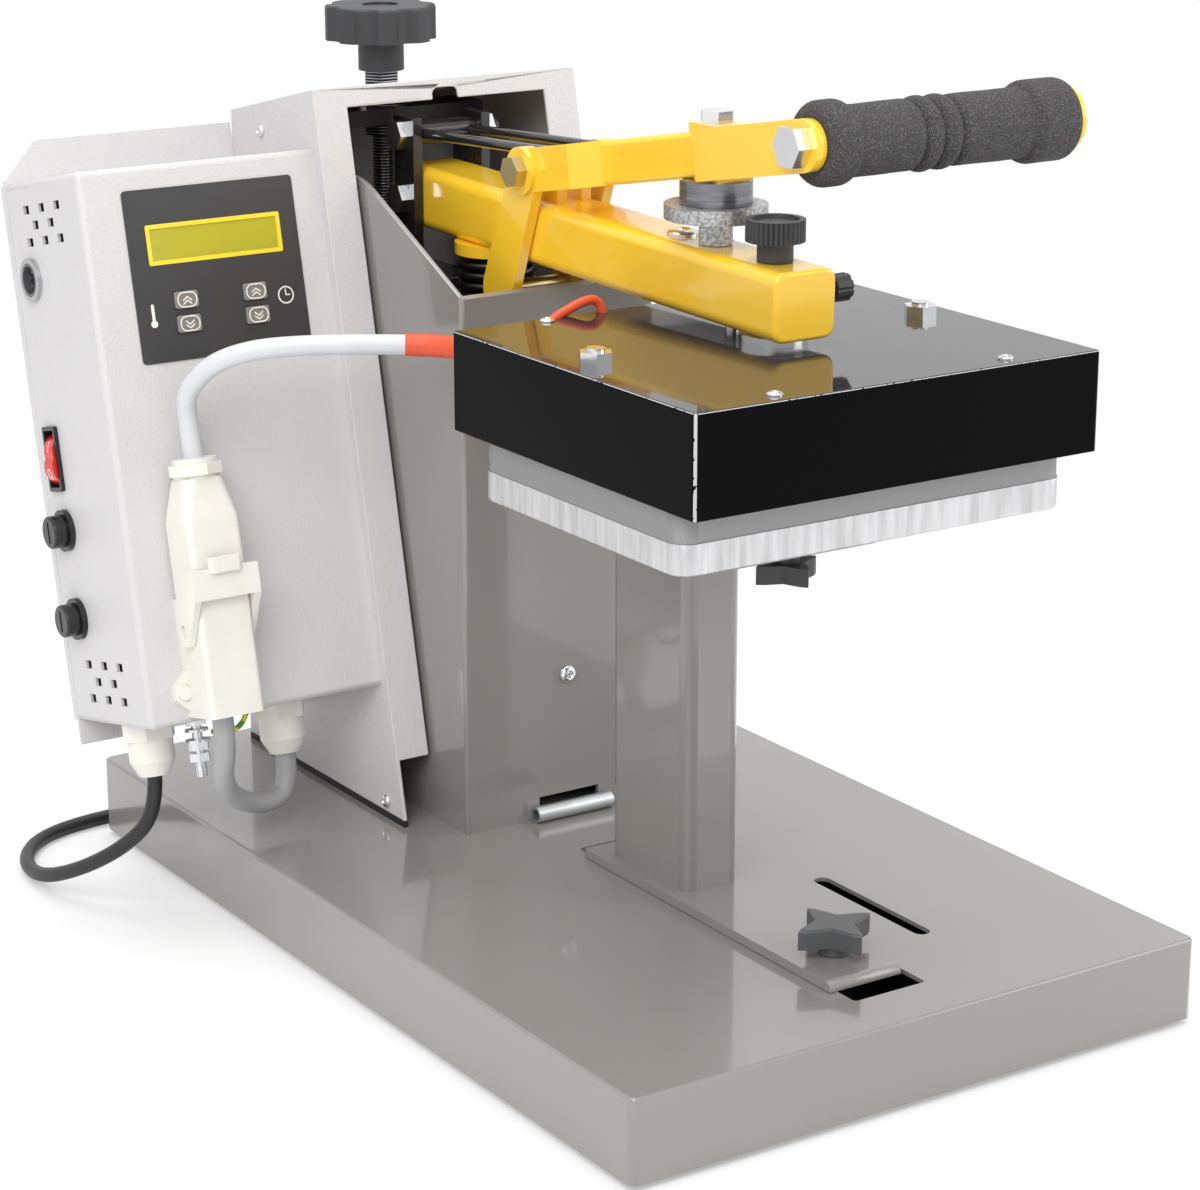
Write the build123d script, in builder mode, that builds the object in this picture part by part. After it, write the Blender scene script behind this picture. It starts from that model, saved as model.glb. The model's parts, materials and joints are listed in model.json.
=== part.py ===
from build123d import *
import os
from math import atan, cos, dist, pi, radians, sin, sqrt, tan

os.makedirs("parts", exist_ok=True)

# Auto-open clamshell heat press, closed. The frame's origin is on the bench under the
# middle of the base, +Z is up and the operator stands at -Y. Sizes are in millimetres.

# Base tray
base_width = 300.0
base_length = 483.0
base_height = 38.0
base_sheet = 2.0
base_corner = 4.0
base_flange = 20.0
foot_stand = 3.0
foot_radius = 9.0
foot_inset = 12.0
base_top = foot_stand + base_height
slot_left = -18.0
slot_right = 20.0
slot_front = -213.6
slot_rear = -0.6
accessory_slot_x = 53.5
accessory_slot_y = -132.6
accessory_slot_length = 80.0
accessory_slot_width = 8.0

# Running and seating clearances
slide_gap = 0.3
pin_gap = 0.2
seat_gap = 0.3

# Column, a folded channel open to the rear and the top
column_half = 53.0
column_sheet = 2.5
column_front = 43.4
column_rear = 215.0
column_front_top = 301.0
column_shoulder_y = 125.0
column_shoulder_z = 340.0
column_top = 344.6
column_top_y = 149.0
column_plate = 3.0
column_notch_left = -12.0
column_notch_right = 22.0
column_notch_top = 52.0

# Hood
hood_half = 73.0
hood_sheet = 2.0
hood_trim = 3.0
hood_front_foot = 68.0
hood_front_top = 143.6
hood_peak = 386.5
hood_rear = 227.0
hood_rear_top = 367.0
hood_flange = 18.0
hood_flange_foot = 73.0
hood_lip = 9.8
hood_notch_x = -1.0
hood_notch_width = 14.0
hood_spindle_hole = 10.6

# Control box, leaning back with the hood's front edge
lean = 12.5
box_left = -195.0
box_length = 257.0
box_depth = 82.0
box_front_y = 87.8
box_front_z = 107.9
box_sheet = 1.5
box_edge = 3.0
back_gap = 0.6
back_band = 6.0
back_rise = 20.0
back_drop = 12.0
back_chamfer = 18.0

# Carriage that carries the arm and is lifted by the pressure spindle
pivot_y = 147.9
arm_pivot_z = 330.0
sleeve_z = 360.5
ladder_front = 138.0
ladder_rear = 157.0
ladder_top = 369.0
ladder_foot = 120.0
ladder_inner = 16.5
ladder_thick = 5.0
spindle_y = 205.4
spindle_radius = 5.0
spindle_hex = 16.0
spindle_foot = 262.0
bearing_top = 366.0
bearing_thick = 8.0
bearing_front = 192.0
guide_heights = (150.0, 240.0)
nut_block_foot = 270.0
nut_block_top = 290.0
nut_block_rear = 214.0
knob_hub_foot = 383.6
knob_hub_height = 15.0
knob_hub_radius = 11.3
knob_radius = 27.3
knob_height = 17.0
knob_lobes = 8
carriage_travel = 7.5

# Main arm
arm_half = 16.0
arm_height = 30.0
arm_front = -146.6
arm_front_z = 325.0
arm_rear = 158.0
arm_edge = 5.5
arm_bolt_radius = 4.0
arm_wall = 2.5
spring_y = 98.0
spring_radius = 17.0
spring_wire = 4.0
spring_seat = 200.0
spring_cap = 5.0

# Handle lever, its yoke and the guide rods
yoke_y = 38.4
yoke_z = 358.0
yoke_boss = 11.0
cheek_inner = 17.0
cheek_thick = 5.0
cheek_foot_y = 62.5
cheek_foot_z = 299.0
cheek_foot_radius = 12.0
boss_proud = 2.5
yoke_bolt_radius = 4.0
lug_inner = 4.0
lug_thick = 5.0
lug_radius = 8.5
lever_half = 10.0
lever_slope = 10.6
lever_start = 22.0
lever_tube_end = 138.0
blade_thick = 5.0
blade_height = 22.0
blade_end = 214.0
handle_y = -159.6
handle_z = 394.7
rod_radius = 2.5
rod_x = 13.5
rod_lift = 8.6
rod_tip = 8.0
sleeve_radius = 5.8

# Grip
foam_left = -9.2
foam_right = 124.0
foam_radius = 15.5
foam_swell = 1.2
foam_flange = 18.0
grip_core = 8.0

# Magnet and armature
magnet_y = -81.6
magnet_radius = 15.8
magnet_foot = 359.0
magnet_height = 12.0
armature_radius = 22.5
armature_foot = 352.5
armature_thick = 6.3
stack_half = 7.0
thumb_y = -124.6
thumb_radius = 12.75
thumb_height = 9.5
thumb_neck_radius = 7.75
thumb_neck = 8.4
collar_radius = 14.5
stack_stud_y = -94.5

# Heating plate and its cover
cover_half = 103.5
cover_front = -214.6
cover_rear = -32.6
cover_foot = 263.0
cover_top = 306.5
cover_sheet = 1.5
plate_half = 100.0
plate_front = -199.6
plate_rear = -49.6
plate_foot = 235.6
plate_lower = 13.5
plate_corner = 9.0

# Lower platen, pedestal and the sliding foot
pedestal_half = 15.0
pedestal_front = -84.6
pedestal_rear = -22.6
pedestal_wall = 2.5
pedestal_top = 215.6
bracket_half = 45.0
bracket_front = -143.6
bracket_thick = 6.0
platen_half = 70.0
platen_front = -151.6
platen_rear = -51.6
platen_thick = 8.0
pad_gap = 0.3
foot_left = -22.0
foot_right = 16.0
foot_front = -201.6
foot_rear = -12.0
foot_thick = 4.3
guide_drop = 3.0
keeper_thick = 4.0
slide_knob_y = -175.0
slide_knob_radius = 19.5
platen_knob_y = -136.0
platen_knob_radius = 16.0

# Cords and wires
mains_diameter = 7.2
heater_diameter = 9.4
sleeve_diameter = 10.4
grey_diameter = 10.0
earth_diameter = 2.6
coil_radius = 39.0
coil_pitch = 7.9
coil_layer = 7.9
coil_x = 12.0
coil_y = 289.0

sin_lean = sin(radians(lean))
cos_lean = cos(radians(lean))
along_u = Vector(0, sin_lean, cos_lean)
along_v = Vector(0, cos_lean, -sin_lean)
box_corner = Vector(0, box_front_y, box_front_z)


def box_point(x, u, out):
    """A place on the control box: x across, u up its front, out from its front."""
    return Vector(x, 0, 0) + box_corner + along_u * u - along_v * out


def panel(out=0.0, x=0.0, u=0.0):
    """The front panel's plane: X across, Y up the slope, Z out of it."""
    return Plane(origin=box_point(x, u, out), x_dir=(1, 0, 0), z_dir=-along_v)


def rising(u, x=0.0, out=0.0):
    """A plane square to the slope: X across, Y into the box, Z up the slope."""
    return Plane(origin=box_point(x, u, out), x_dir=(1, 0, 0), z_dir=along_u)


def box_side(x):
    """The box's left face: X up the slope, Y to the rear, Z out to the left."""
    return Plane(origin=box_point(x, 0, 0), x_dir=along_u, z_dir=(-1, 0, 0))


def level(z, x=0.0, y=0.0):
    return Plane(origin=(x, y, z), x_dir=(1, 0, 0), z_dir=(0, 0, 1))


def across(x, y=0.0, z=0.0):
    """A plane square to X: its X is +Y, its Y is +Z."""
    return Plane(origin=(x, y, z), x_dir=(0, 1, 0), z_dir=(1, 0, 0))


def tube_path(name, points):
    """Straight runs joined by tangent arcs, each as large as its two runs allow."""
    places = [Vector(*p) for p in points]
    radii = []
    for before, here, after in zip(places, places[1:], places[2:]):
        turn = (here - before).get_angle(after - here)
        shorter = min((here - before).length, (after - here).length)
        radii.append(0.45 * shorter / tan(radians(turn / 2)))
    print(name, "arc radii", [round(r, 1) for r in radii])
    return places, radii


def tube(name, points, diameter):
    """A round cord along its path; square ends."""
    places, radii = tube_path(name, points)
    with BuildPart() as cord:
        with BuildLine() as path:
            FilletPolyline(*places, radius=radii)
        start = Plane(origin=places[0], z_dir=places[1] - places[0])
        with BuildSketch(start):
            Circle(diameter / 2)
        sweep(path=path.wires()[0])
    return cord.part


def least_gap(line, thickness, step=1.0):
    """The least clear distance between two stretches of one wound tube, on points."""
    count = round(line.length / step)
    places = [tuple(line.position_at(i / count)) for i in range(count + 1)]
    along = round(3 * thickness / step)
    return min(dist(here, there) for i, here in enumerate(places)
               for there in places[i + along:]) - thickness


# Base tray: one folded sheet, open below, with turned-in flanges for the feet
with BuildPart() as base_tray:
    with BuildSketch(level(foot_stand)):
        RectangleRounded(base_width, base_length, base_corner)
    extrude(amount=base_height)
    with BuildSketch(level(foot_stand)):
        RectangleRounded(base_width - 2 * base_sheet, base_length - 2 * base_sheet,
                         base_corner - base_sheet)
    extrude(amount=base_height - base_sheet, mode=Mode.SUBTRACT)
    fillet(base_tray.edges().group_by(Axis.Z)[-1], base_sheet * 0.75)
    for side in (-1, 1):
        flange_x = side * (base_width / 2 - base_sheet - base_flange / 2)
        with BuildSketch(level(foot_stand, flange_x)):
            Rectangle(base_flange, base_length - 4 * base_corner)
        extrude(amount=base_sheet)
    with BuildSketch(level(base_top)):
        with Locations(((slot_left + slot_right) / 2, (slot_front + slot_rear) / 2)):
            RectangleRounded(slot_right - slot_left, slot_rear - slot_front, 2)
        with Locations((accessory_slot_x, accessory_slot_y)):
            SlotOverall(accessory_slot_length, accessory_slot_width, rotation=90)
    extrude(amount=-2 * base_sheet, mode=Mode.SUBTRACT)
    foot_x = base_width / 2 - base_sheet - foot_inset
    foot_y = base_length / 2 - 2 * base_corner - foot_inset
    with BuildSketch(level(foot_stand)):
        with GridLocations(2 * foot_x, 2 * foot_y, 2, 2):
            Circle(3.2)
    extrude(amount=base_sheet, mode=Mode.SUBTRACT)
base_tray.part.label = "base_tray"
export_step(base_tray.part, "parts/base_tray.step")

with BuildPart() as rubber_feet:
    with BuildSketch(level(0)):
        with GridLocations(2 * foot_x, 2 * foot_y, 2, 2):
            Circle(foot_radius)
    extrude(amount=foot_stand, taper=-4)
    with BuildSketch(level(foot_stand)):
        with GridLocations(2 * foot_x, 2 * foot_y, 2, 2):
            Circle(3.0)
    extrude(amount=base_sheet + 1.5)
rubber_feet.part.label = "rubber_feet"
export_step(rubber_feet.part, "parts/rubber_feet.step")

# Column
with BuildPart() as column:
    with BuildSketch(Plane.YZ):
        with BuildLine():
            top_start = (column_top_y, column_top)
            shoulder = Line((column_front, column_front_top), (column_shoulder_y, column_shoulder_z))
            bend = TangentArc(shoulder @ 1, top_start, tangent=shoulder % 1)
            Polyline(bend @ 1, (column_rear, column_top), (column_rear, base_top),
                     (column_front, base_top), (column_front, column_front_top))
        make_face()
    extrude(amount=column_half, both=True)
    inner_half = column_half - column_sheet
    with BuildSketch(level(base_top + column_plate)):
        with Locations((0, (column_front + column_sheet + column_rear) / 2)):
            Rectangle(2 * inner_half, column_rear - column_front - column_sheet)
    extrude(amount=column_top, mode=Mode.SUBTRACT)
    with BuildSketch(Plane.XZ.offset(-column_front)):
        with Locations(((column_notch_left + column_notch_right) / 2, base_top)):
            Rectangle(column_notch_right - column_notch_left, 2 * (column_notch_top - base_top))
    extrude(amount=-column_sheet, mode=Mode.SUBTRACT)
    front_corners = column.edges().filter_by(Axis.Z).filter_by_position(
        Axis.Y, column_front - 0.1, column_front + 0.1)
    fillet([edge for edge in front_corners if abs(abs(edge.center().X) - column_half) < 0.1],
           column_sheet * 0.8)
column.part.label = "column"
export_step(column.part, "parts/column.step")

# Galvanised cross sleeve at the column's foot
sleeve_r = 4.0
with BuildPart() as foot_sleeve:
    with BuildSketch(across(column_notch_left - 5, column_front - sleeve_r - pin_gap,
                            base_top + sleeve_r + pin_gap)):
        Circle(sleeve_r)
        Circle(sleeve_r - 1.2, mode=Mode.SUBTRACT)
    extrude(amount=column_notch_right - column_notch_left + 9)
foot_sleeve.part.label = "foot_sleeve"
export_step(foot_sleeve.part, "parts/foot_sleeve.step")

# Hood: a folded cover with a leaning front, standing on a black edge trim
hood_foot = base_top + hood_trim


def hood_outline(inset):
    """The hood's side profile, drawn in by the sheet on every side but the foot."""
    front_slope = (hood_front_top - hood_front_foot) / (hood_peak - base_top)
    top_fall = (hood_peak - hood_rear_top) / (hood_rear - hood_front_top)
    front_y = hood_front_foot + inset * sqrt(1 + front_slope ** 2)
    peak_z = hood_peak - inset * sqrt(1 + top_fall ** 2)
    rear_y = hood_rear - inset
    crest_z = ((peak_z - top_fall * (front_y - hood_front_top - front_slope * base_top))
               / (1 + top_fall * front_slope))
    return [(front_y + front_slope * (hood_foot - base_top), hood_foot),
            (front_y + front_slope * (crest_z - base_top), crest_z),
            (rear_y, peak_z - top_fall * (rear_y - hood_front_top)),
            (rear_y, hood_foot)]


with BuildPart() as hood:
    with BuildSketch(Plane.YZ):
        with BuildLine():
            Polyline(*hood_outline(0), close=True)
        make_face()
    extrude(amount=hood_half, both=True)
    with BuildSketch(Plane.YZ):
        with BuildLine():
            Polyline(*hood_outline(hood_sheet), close=True)
        make_face()
    extrude(amount=hood_half - hood_sheet, both=True, mode=Mode.SUBTRACT)
    window_half = hood_half - hood_flange
    lip_foot = hood_peak - hood_lip
    with BuildSketch(Plane.XZ.offset(-hood_front_foot + 5)):
        with Locations((0, (hood_foot + lip_foot) / 2)):
            Rectangle(2 * window_half, lip_foot - hood_foot)
        with Locations((0, (hood_foot + hood_flange_foot) / 2)):
            Rectangle(2 * (hood_half - hood_sheet), hood_flange_foot - hood_foot)
        with Locations((hood_notch_x, lip_foot)):
            RectangleRounded(hood_notch_width, 2 * (hood_lip - 2.2 * hood_sheet), 3)
    extrude(amount=-(hood_front_top - hood_front_foot + 12), mode=Mode.SUBTRACT)
    with BuildSketch(level(hood_peak)):
        with Locations((0, spindle_y)):
            Circle(hood_spindle_hole)
    extrude(amount=-30, mode=Mode.SUBTRACT)
hood.part.label = "hood"
export_step(hood.part, "parts/hood.step")

with BuildPart() as hood_edge_trim:
    with BuildSketch(level(base_top)):
        trim_front = hood_outline(0)[0][0]
        with Locations((0, (trim_front + hood_rear) / 2)):
            Rectangle(2 * hood_half, hood_rear - trim_front)
        with Locations((0, (trim_front + hood_rear) / 2 - hood_sheet)):
            Rectangle(2 * (hood_half - hood_sheet), hood_rear - trim_front, mode=Mode.SUBTRACT)
    extrude(amount=hood_trim)
hood_edge_trim.part.label = "hood_edge_trim"
export_step(hood_edge_trim.part, "parts/hood_edge_trim.step")

# Control box cover, a shell with vents, and the pan that closes its back
box_right = -hood_half
box_width = box_right - box_left
box_x = (box_left + box_right) / 2
overlay_left = -174.4
overlay_right = -87.0
overlay_thick = 0.6
display_left = -165.0
display_right = -96.0
display_foot = 211.0
display_height = 18.6
display_top = display_foot + display_height
button_width = 12.0
button_height = 8.0
button_columns = (-149.0, -113.5)
button_below = 17.0
button_row_step = 11.0
button_top_row = display_foot - button_below
button_low_row = button_top_row - button_row_step
button_places = [(x, u) for u in (button_top_row, button_low_row) for x in button_columns]
overlay_above = 16.4
overlay_below = 16.5
overlay_top = display_top + overlay_above
overlay_foot = button_low_row - overlay_below
button_gap = 0.25
button_proud = 1.3
button_travel = 0.8
socket_v = 64.0
socket_u = 211.5
rocker_v = 67.0
rocker_u = 126.8
rocker_length = 27.0
rocker_width = 10.6
bezel_length = 31.0
bezel_width = 14.0
fuse_v = 65.0
fuse_places = [92.7, 50.3]
fuse_radius = 10.0
fuse_bore = 6.4
vent_long = 6.5
vent_tall = 4.0
vent_rows = [(244.0, 26.0), (236.5, 35.0), (228.8, 26.0), (28.3, 26.0), (20.2, 35.0), (12.0, 26.0)]
vent_step = 17.6

with BuildPart() as box_cover:
    with BuildSketch(rising(0)):
        with Locations((box_x, box_depth / 2)):
            Rectangle(box_width, box_depth)
    extrude(amount=box_length)
    outer_edges = [edge for edge in box_cover.edges()
                   if abs(edge.center().X - box_right) > 1]
    front_edges = [edge for edge in outer_edges
                   if (edge.center() - box_corner).dot(along_v) < box_depth - 1]
    fillet(front_edges, box_edge)
    with BuildSketch(rising(box_sheet)):
        with Locations((box_x, (box_depth + box_sheet) / 2)):
            RectangleRounded(box_width - 2 * box_sheet, box_depth - box_sheet, 1)
    extrude(amount=box_length - 2 * box_sheet, mode=Mode.SUBTRACT)
    with BuildSketch(box_side(box_left)):
        for vent_u, vent_v in vent_rows:
            count = 2 if vent_v > 30 else 3
            for step in range(count):
                with Locations((vent_u, vent_v + step * vent_step)):
                    Rectangle(vent_tall, vent_long)
        with Locations((socket_u, socket_v)):
            Circle(8.2)
        with Locations((rocker_u, rocker_v)):
            Rectangle(rocker_length + 1.4, rocker_width + 1.4)
        for fuse_u in fuse_places:
            with Locations((fuse_u, fuse_v)):
                Circle(fuse_bore + 1.4)
    extrude(amount=-2 * box_sheet, mode=Mode.SUBTRACT)
    with BuildSketch(panel(0)):
        for place in button_places:
            with Locations(place):
                Rectangle(button_width + 2 * button_gap, button_height + 2 * button_gap)
        with Locations(((display_left + display_right) / 2, (display_foot + display_top) / 2)):
            Rectangle(display_right - display_left - 3, display_top - display_foot - 3)
    extrude(amount=-2 * box_sheet, mode=Mode.SUBTRACT)
box_cover.part.label = "box_cover"
export_step(box_cover.part, "parts/box_cover.step")

with BuildPart() as box_back_plate:
    with BuildSketch(panel(-box_depth - back_gap)):
        with Locations((box_x, (box_length + back_rise - back_drop) / 2)):
            plate = Rectangle(box_width, box_length + back_rise + back_drop)
        chamfer(plate.vertices().sort_by(Axis.X)[:2].sort_by(Axis.Y)[-1], back_chamfer)
    extrude(amount=-base_sheet)
    with BuildSketch(panel(-box_depth - back_gap - base_sheet)):
        with Locations((box_x, box_length / 2)):
            Rectangle(box_width, box_length)
            Rectangle(box_width - 2 * box_sheet, box_length - 2 * box_sheet, mode=Mode.SUBTRACT)
    extrude(amount=-(back_band - base_sheet - back_gap))
box_back_plate.part.label = "box_back_plate"
export_step(box_back_plate.part, "parts/box_back_plate.step")

# Control panel: a dark overlay, the display and four sprung buttons
with BuildPart() as control_overlay:
    with BuildSketch(panel(0)):
        with Locations(((overlay_left + overlay_right) / 2, (overlay_foot + overlay_top) / 2)):
            RectangleRounded(overlay_right - overlay_left, overlay_top - overlay_foot, 2)
        with Locations(((display_left + display_right) / 2, (display_foot + display_top) / 2)):
            Rectangle(display_right - display_left, display_top - display_foot, mode=Mode.SUBTRACT)
        for place in button_places:
            with Locations(place):
                Rectangle(button_width + 2 * button_gap, button_height + 2 * button_gap,
                          mode=Mode.SUBTRACT)
    extrude(amount=overlay_thick)
control_overlay.part.label = "control_overlay"
export_step(control_overlay.part, "parts/control_overlay.step")

with BuildPart() as display_window:
    with BuildSketch(panel(0)):
        with Locations(((display_left + display_right) / 2, (display_foot + display_top) / 2)):
            RectangleRounded(display_right - display_left, display_top - display_foot, 1)
    extrude(amount=overlay_thick + 0.4)
    with BuildSketch(panel(overlay_thick + 0.4)):
        with Locations(((display_left + display_right) / 2, (display_foot + display_top) / 2)):
            Rectangle(display_right - display_left - 4, display_top - display_foot - 4)
    extrude(amount=-0.6, mode=Mode.SUBTRACT)
display_window.part.label = "display_window"
export_step(display_window.part, "parts/display_window.step")

for number, place in enumerate(button_places, 1):
    with BuildPart() as button:
        with BuildSketch(panel(-box_sheet - 1.0)):
            with Locations(place):
                RectangleRounded(button_width, button_height, 1.2)
        extrude(amount=box_sheet + 1.0 + overlay_thick + button_proud)
        fillet(button.edges().group_by(Axis((0, 0, 0), -along_v))[-1], 0.5)
        with BuildSketch(panel(overlay_thick + button_proud)):
            with Locations(place):
                SlotOverall(button_width - 2.6, button_height - 3.4)
                SlotOverall(button_width - 3.6, button_height - 4.4, mode=Mode.SUBTRACT)
        extrude(amount=0.2)
    button.part.label = f"button_{number}"
    export_step(button.part, f"parts/button_{number}.step")

board_depth = 6.0
with BuildPart() as control_board:
    board_out = -box_sheet - 1.0 - button_travel - seat_gap
    with BuildSketch(panel(board_out)):
        with Locations(((overlay_left + overlay_right) / 2, (overlay_foot + overlay_top) / 2)):
            Rectangle(overlay_right - overlay_left, overlay_top - overlay_foot)
    extrude(amount=-board_depth)
    with BuildSketch(panel(board_out)):
        for post_x in (overlay_left + 4, overlay_right - 4):
            for post_u in (overlay_foot + 4, overlay_top - 4):
                with Locations((post_x, post_u)):
                    Circle(2.5)
    extrude(amount=-board_out - box_sheet)
control_board.part.label = "control_board"
export_step(control_board.part, "parts/control_board.step")

# Power rocker in its bezel, on the box's left face
bezel_proud = 2.0
rocker_tilt = 7.0
with BuildPart() as rocker_bezel:
    with BuildSketch(box_side(box_left)):
        with Locations((rocker_u, rocker_v)):
            RectangleRounded(bezel_length, bezel_width, 1.5)
            Rectangle(rocker_length, rocker_width, mode=Mode.SUBTRACT)
    extrude(amount=bezel_proud)
    with BuildSketch(box_side(box_left)):
        with Locations((rocker_u, rocker_v)):
            Rectangle(rocker_length + 1.2, rocker_width + 1.2)
            Rectangle(rocker_length, rocker_width, mode=Mode.SUBTRACT)
    extrude(amount=-11)
    with BuildSketch(box_side(box_left + 11)):
        with Locations((rocker_u, rocker_v)):
            Rectangle(rocker_length + 1.2, rocker_width + 1.2)
    extrude(amount=-9)
rocker_bezel.part.label = "rocker_bezel"
export_step(rocker_bezel.part, "parts/rocker_bezel.step")

rocker_axis_in = 3.0
rocker_half = rocker_length / 2 - 1.0
rocker_centre = box_point(box_left, rocker_u, -rocker_v) + Vector(rocker_axis_in, 0, 0)
rocker_up = along_u.rotate(Axis((0, 0, 0), along_v), rocker_tilt)
rocker_plane = Plane(origin=rocker_centre - along_v * (rocker_width / 2 - 0.5),
                     x_dir=rocker_up, z_dir=along_v)
with BuildPart() as rocker_switch:
    with BuildSketch(rocker_plane):
        with BuildLine():
            face_line = ThreePointArc((-rocker_half, 6.2), (0, 4.6), (rocker_half, 6.2))
            ThreePointArc((rocker_half, 6.2), (rocker_half * 0.86, -3.4), (0, -6.0))
            ThreePointArc((0, -6.0), (-rocker_half * 0.86, -3.4), (-rocker_half, 6.2))
        make_face()
    extrude(amount=rocker_width - 1.0)
rocker_switch.part.label = "rocker_switch"
export_step(rocker_switch.part, "parts/rocker_switch.step")

# Fuse holders: a fixed flange with its barrel, and a cap that turns in it
with BuildPart() as fuse_holders:
    for fuse_u in fuse_places:
        with BuildSketch(box_side(box_left)):
            with Locations((fuse_u, fuse_v)):
                Circle(fuse_radius)
                Circle(fuse_bore, mode=Mode.SUBTRACT)
        extrude(amount=2.6)
        with BuildSketch(box_side(box_left)):
            with Locations((fuse_u, fuse_v)):
                Circle(fuse_bore + 1.2)
                Circle(fuse_bore, mode=Mode.SUBTRACT)
        extrude(amount=-16)
        with BuildSketch(box_side(box_left + 16)):
            with Locations((fuse_u, fuse_v)):
                Circle(fuse_bore + 1.2)
        extrude(amount=-4)
fuse_holders.part.label = "fuse_holders"
export_step(fuse_holders.part, "parts/fuse_holders.step")

for number, fuse_u in enumerate(fuse_places, 1):
    with BuildPart() as fuse_cap:
        with BuildSketch(box_side(box_left + 15)):
            with Locations((fuse_u, fuse_v)):
                Circle(fuse_bore - pin_gap)
        extrude(amount=15 + 2.6 + seat_gap)
        with BuildSketch(box_side(box_left - 2.6 - seat_gap)):
            with Locations((fuse_u, fuse_v)):
                Circle(fuse_radius - 2.2)
        extrude(amount=6.5)
        fillet(fuse_cap.edges().group_by(Axis.X)[0], 1.0)
        with BuildSketch(box_side(box_left - 2.6 - seat_gap - 6.5)):
            with Locations((fuse_u, fuse_v)):
                Rectangle(10, 1.6)
        extrude(amount=-2, mode=Mode.SUBTRACT)
    fuse_cap.part.label = f"fuse_cap_{number}"
    export_step(fuse_cap.part, f"parts/fuse_cap_{number}.step")

# Round five-pin panel socket
socket_radius = 10.25
with BuildPart() as panel_socket:
    with BuildSketch(box_side(box_left)):
        with Locations((socket_u, socket_v)):
            Circle(socket_radius)
    extrude(amount=2.2)
    with BuildSketch(box_side(box_left)):
        with Locations((socket_u, socket_v)):
            Circle(8.0)
    extrude(amount=-12)
    with BuildSketch(box_side(box_left - 2.2)):
        with Locations((socket_u, socket_v)):
            Circle(6.6)
    extrude(amount=-8, mode=Mode.SUBTRACT)
    with BuildSketch(box_side(box_left + 5.8)):
        with Locations((socket_u, socket_v)):
            with PolarLocations(3.6, 5):
                Circle(0.8)
    extrude(amount=6)
panel_socket.part.label = "panel_socket"
export_step(panel_socket.part, "parts/panel_socket.step")

# Cable glands under the box, and the earth stud
gland_flats = 11.5
gland_body = 9.0
gland_dome = 17.5
gland_drop = 26.5


def gland(x, v, bore):
    """A cable gland that hangs from the box's foot: hexagon, then a domed nut."""
    with BuildPart() as body:
        with BuildSketch(rising(0, x, -v)):
            RegularPolygon(gland_flats, 6, major_radius=False)
        extrude(amount=-gland_body)
        with BuildSketch(rising(-gland_body, x, -v)):
            Circle(gland_flats - 0.6)
        loft_top = rising(-gland_body - gland_dome * 0.6, x, -v)
        extrude(amount=-gland_dome * 0.6)
        with BuildSketch(loft_top):
            Circle(gland_flats - 0.6)
        with BuildSketch(rising(-gland_drop, x, -v)):
            Circle(gland_flats - 4.2)
        loft(ruled=True)
        with BuildSketch(rising(-gland_drop, x, -v)):
            Circle(bore)
        extrude(amount=12, mode=Mode.SUBTRACT)
    return body.part


mains_gland_x = -178.5
mains_gland_v = 40.0
harness_gland_x = -115.0
harness_gland_v = 28.0
with BuildPart() as mains_gland:
    add(gland(mains_gland_x, mains_gland_v, mains_diameter / 2))
mains_gland.part.label = "mains_gland"
export_step(mains_gland.part, "parts/mains_gland.step")

with BuildPart() as harness_gland:
    add(gland(harness_gland_x, harness_gland_v, grey_diameter / 2))
harness_gland.part.label = "harness_gland"
export_step(harness_gland.part, "parts/harness_gland.step")

stud_x = -159.5
stud_v = 28.0
with BuildPart() as earth_stud:
    with BuildSketch(rising(0, stud_x, -stud_v)):
        Circle(2.5)
    extrude(amount=-30)
    for washer_u, washer_r, washer_t in ((0, 6.0, 1.2), (-7, 5.6, 1.2), (-12, 6.0, 1.0)):
        with BuildSketch(rising(washer_u, stud_x, -stud_v)):
            Circle(washer_r)
        extrude(amount=-washer_t)
    for nut_u in (-1.2, -13.0, -18.5):
        with BuildSketch(rising(nut_u, stud_x, -stud_v)):
            RegularPolygon(4.6, 6, major_radius=False)
        extrude(amount=-4)
earth_stud.part.label = "earth_stud"
export_step(earth_stud.part, "parts/earth_stud.step")

# Heavy connector on the front panel: housing, locking lever, hood and cable nut
connector_x = -162.0
housing_foot = 3.0
housing_top = 58.0
housing_half = 13.5
housing_out = 26.0
hood_top_u = 113.0
nut_top_u = 122.0
ear_reach = 20.0
with BuildPart() as connector_housing:
    with BuildSketch(rising(housing_foot, connector_x)):
        with Locations((0, -housing_out / 2)):
            RectangleRounded(2 * housing_half, housing_out, 2.5)
        with Locations((0, -1.5)):
            Rectangle(2 * housing_half, 3)
    extrude(amount=housing_top - housing_foot)
    with BuildSketch(panel(0, connector_x)):
        with BuildLine():
            Polyline((-housing_half, housing_foot + 3), (-ear_reach, housing_foot + 9),
                     (-ear_reach, housing_foot + 15), (-housing_half, housing_foot + 22), close=True)
        make_face()
    extrude(amount=4)
    with BuildSketch(panel(0, connector_x)):
        with Locations((-ear_reach + 4, housing_foot + 12)):
            Circle(3.2)
    extrude(amount=6)
    with BuildSketch(across(connector_x - housing_half - 1.6)):
        pivot = box_point(0, 44, 14)
        with Locations((pivot.Y, pivot.Z)):
            Circle(3.0)
    extrude(amount=2 * housing_half + 3.2)
connector_housing.part.label = "connector_housing"
export_step(connector_housing.part, "parts/connector_housing.step")

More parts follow.
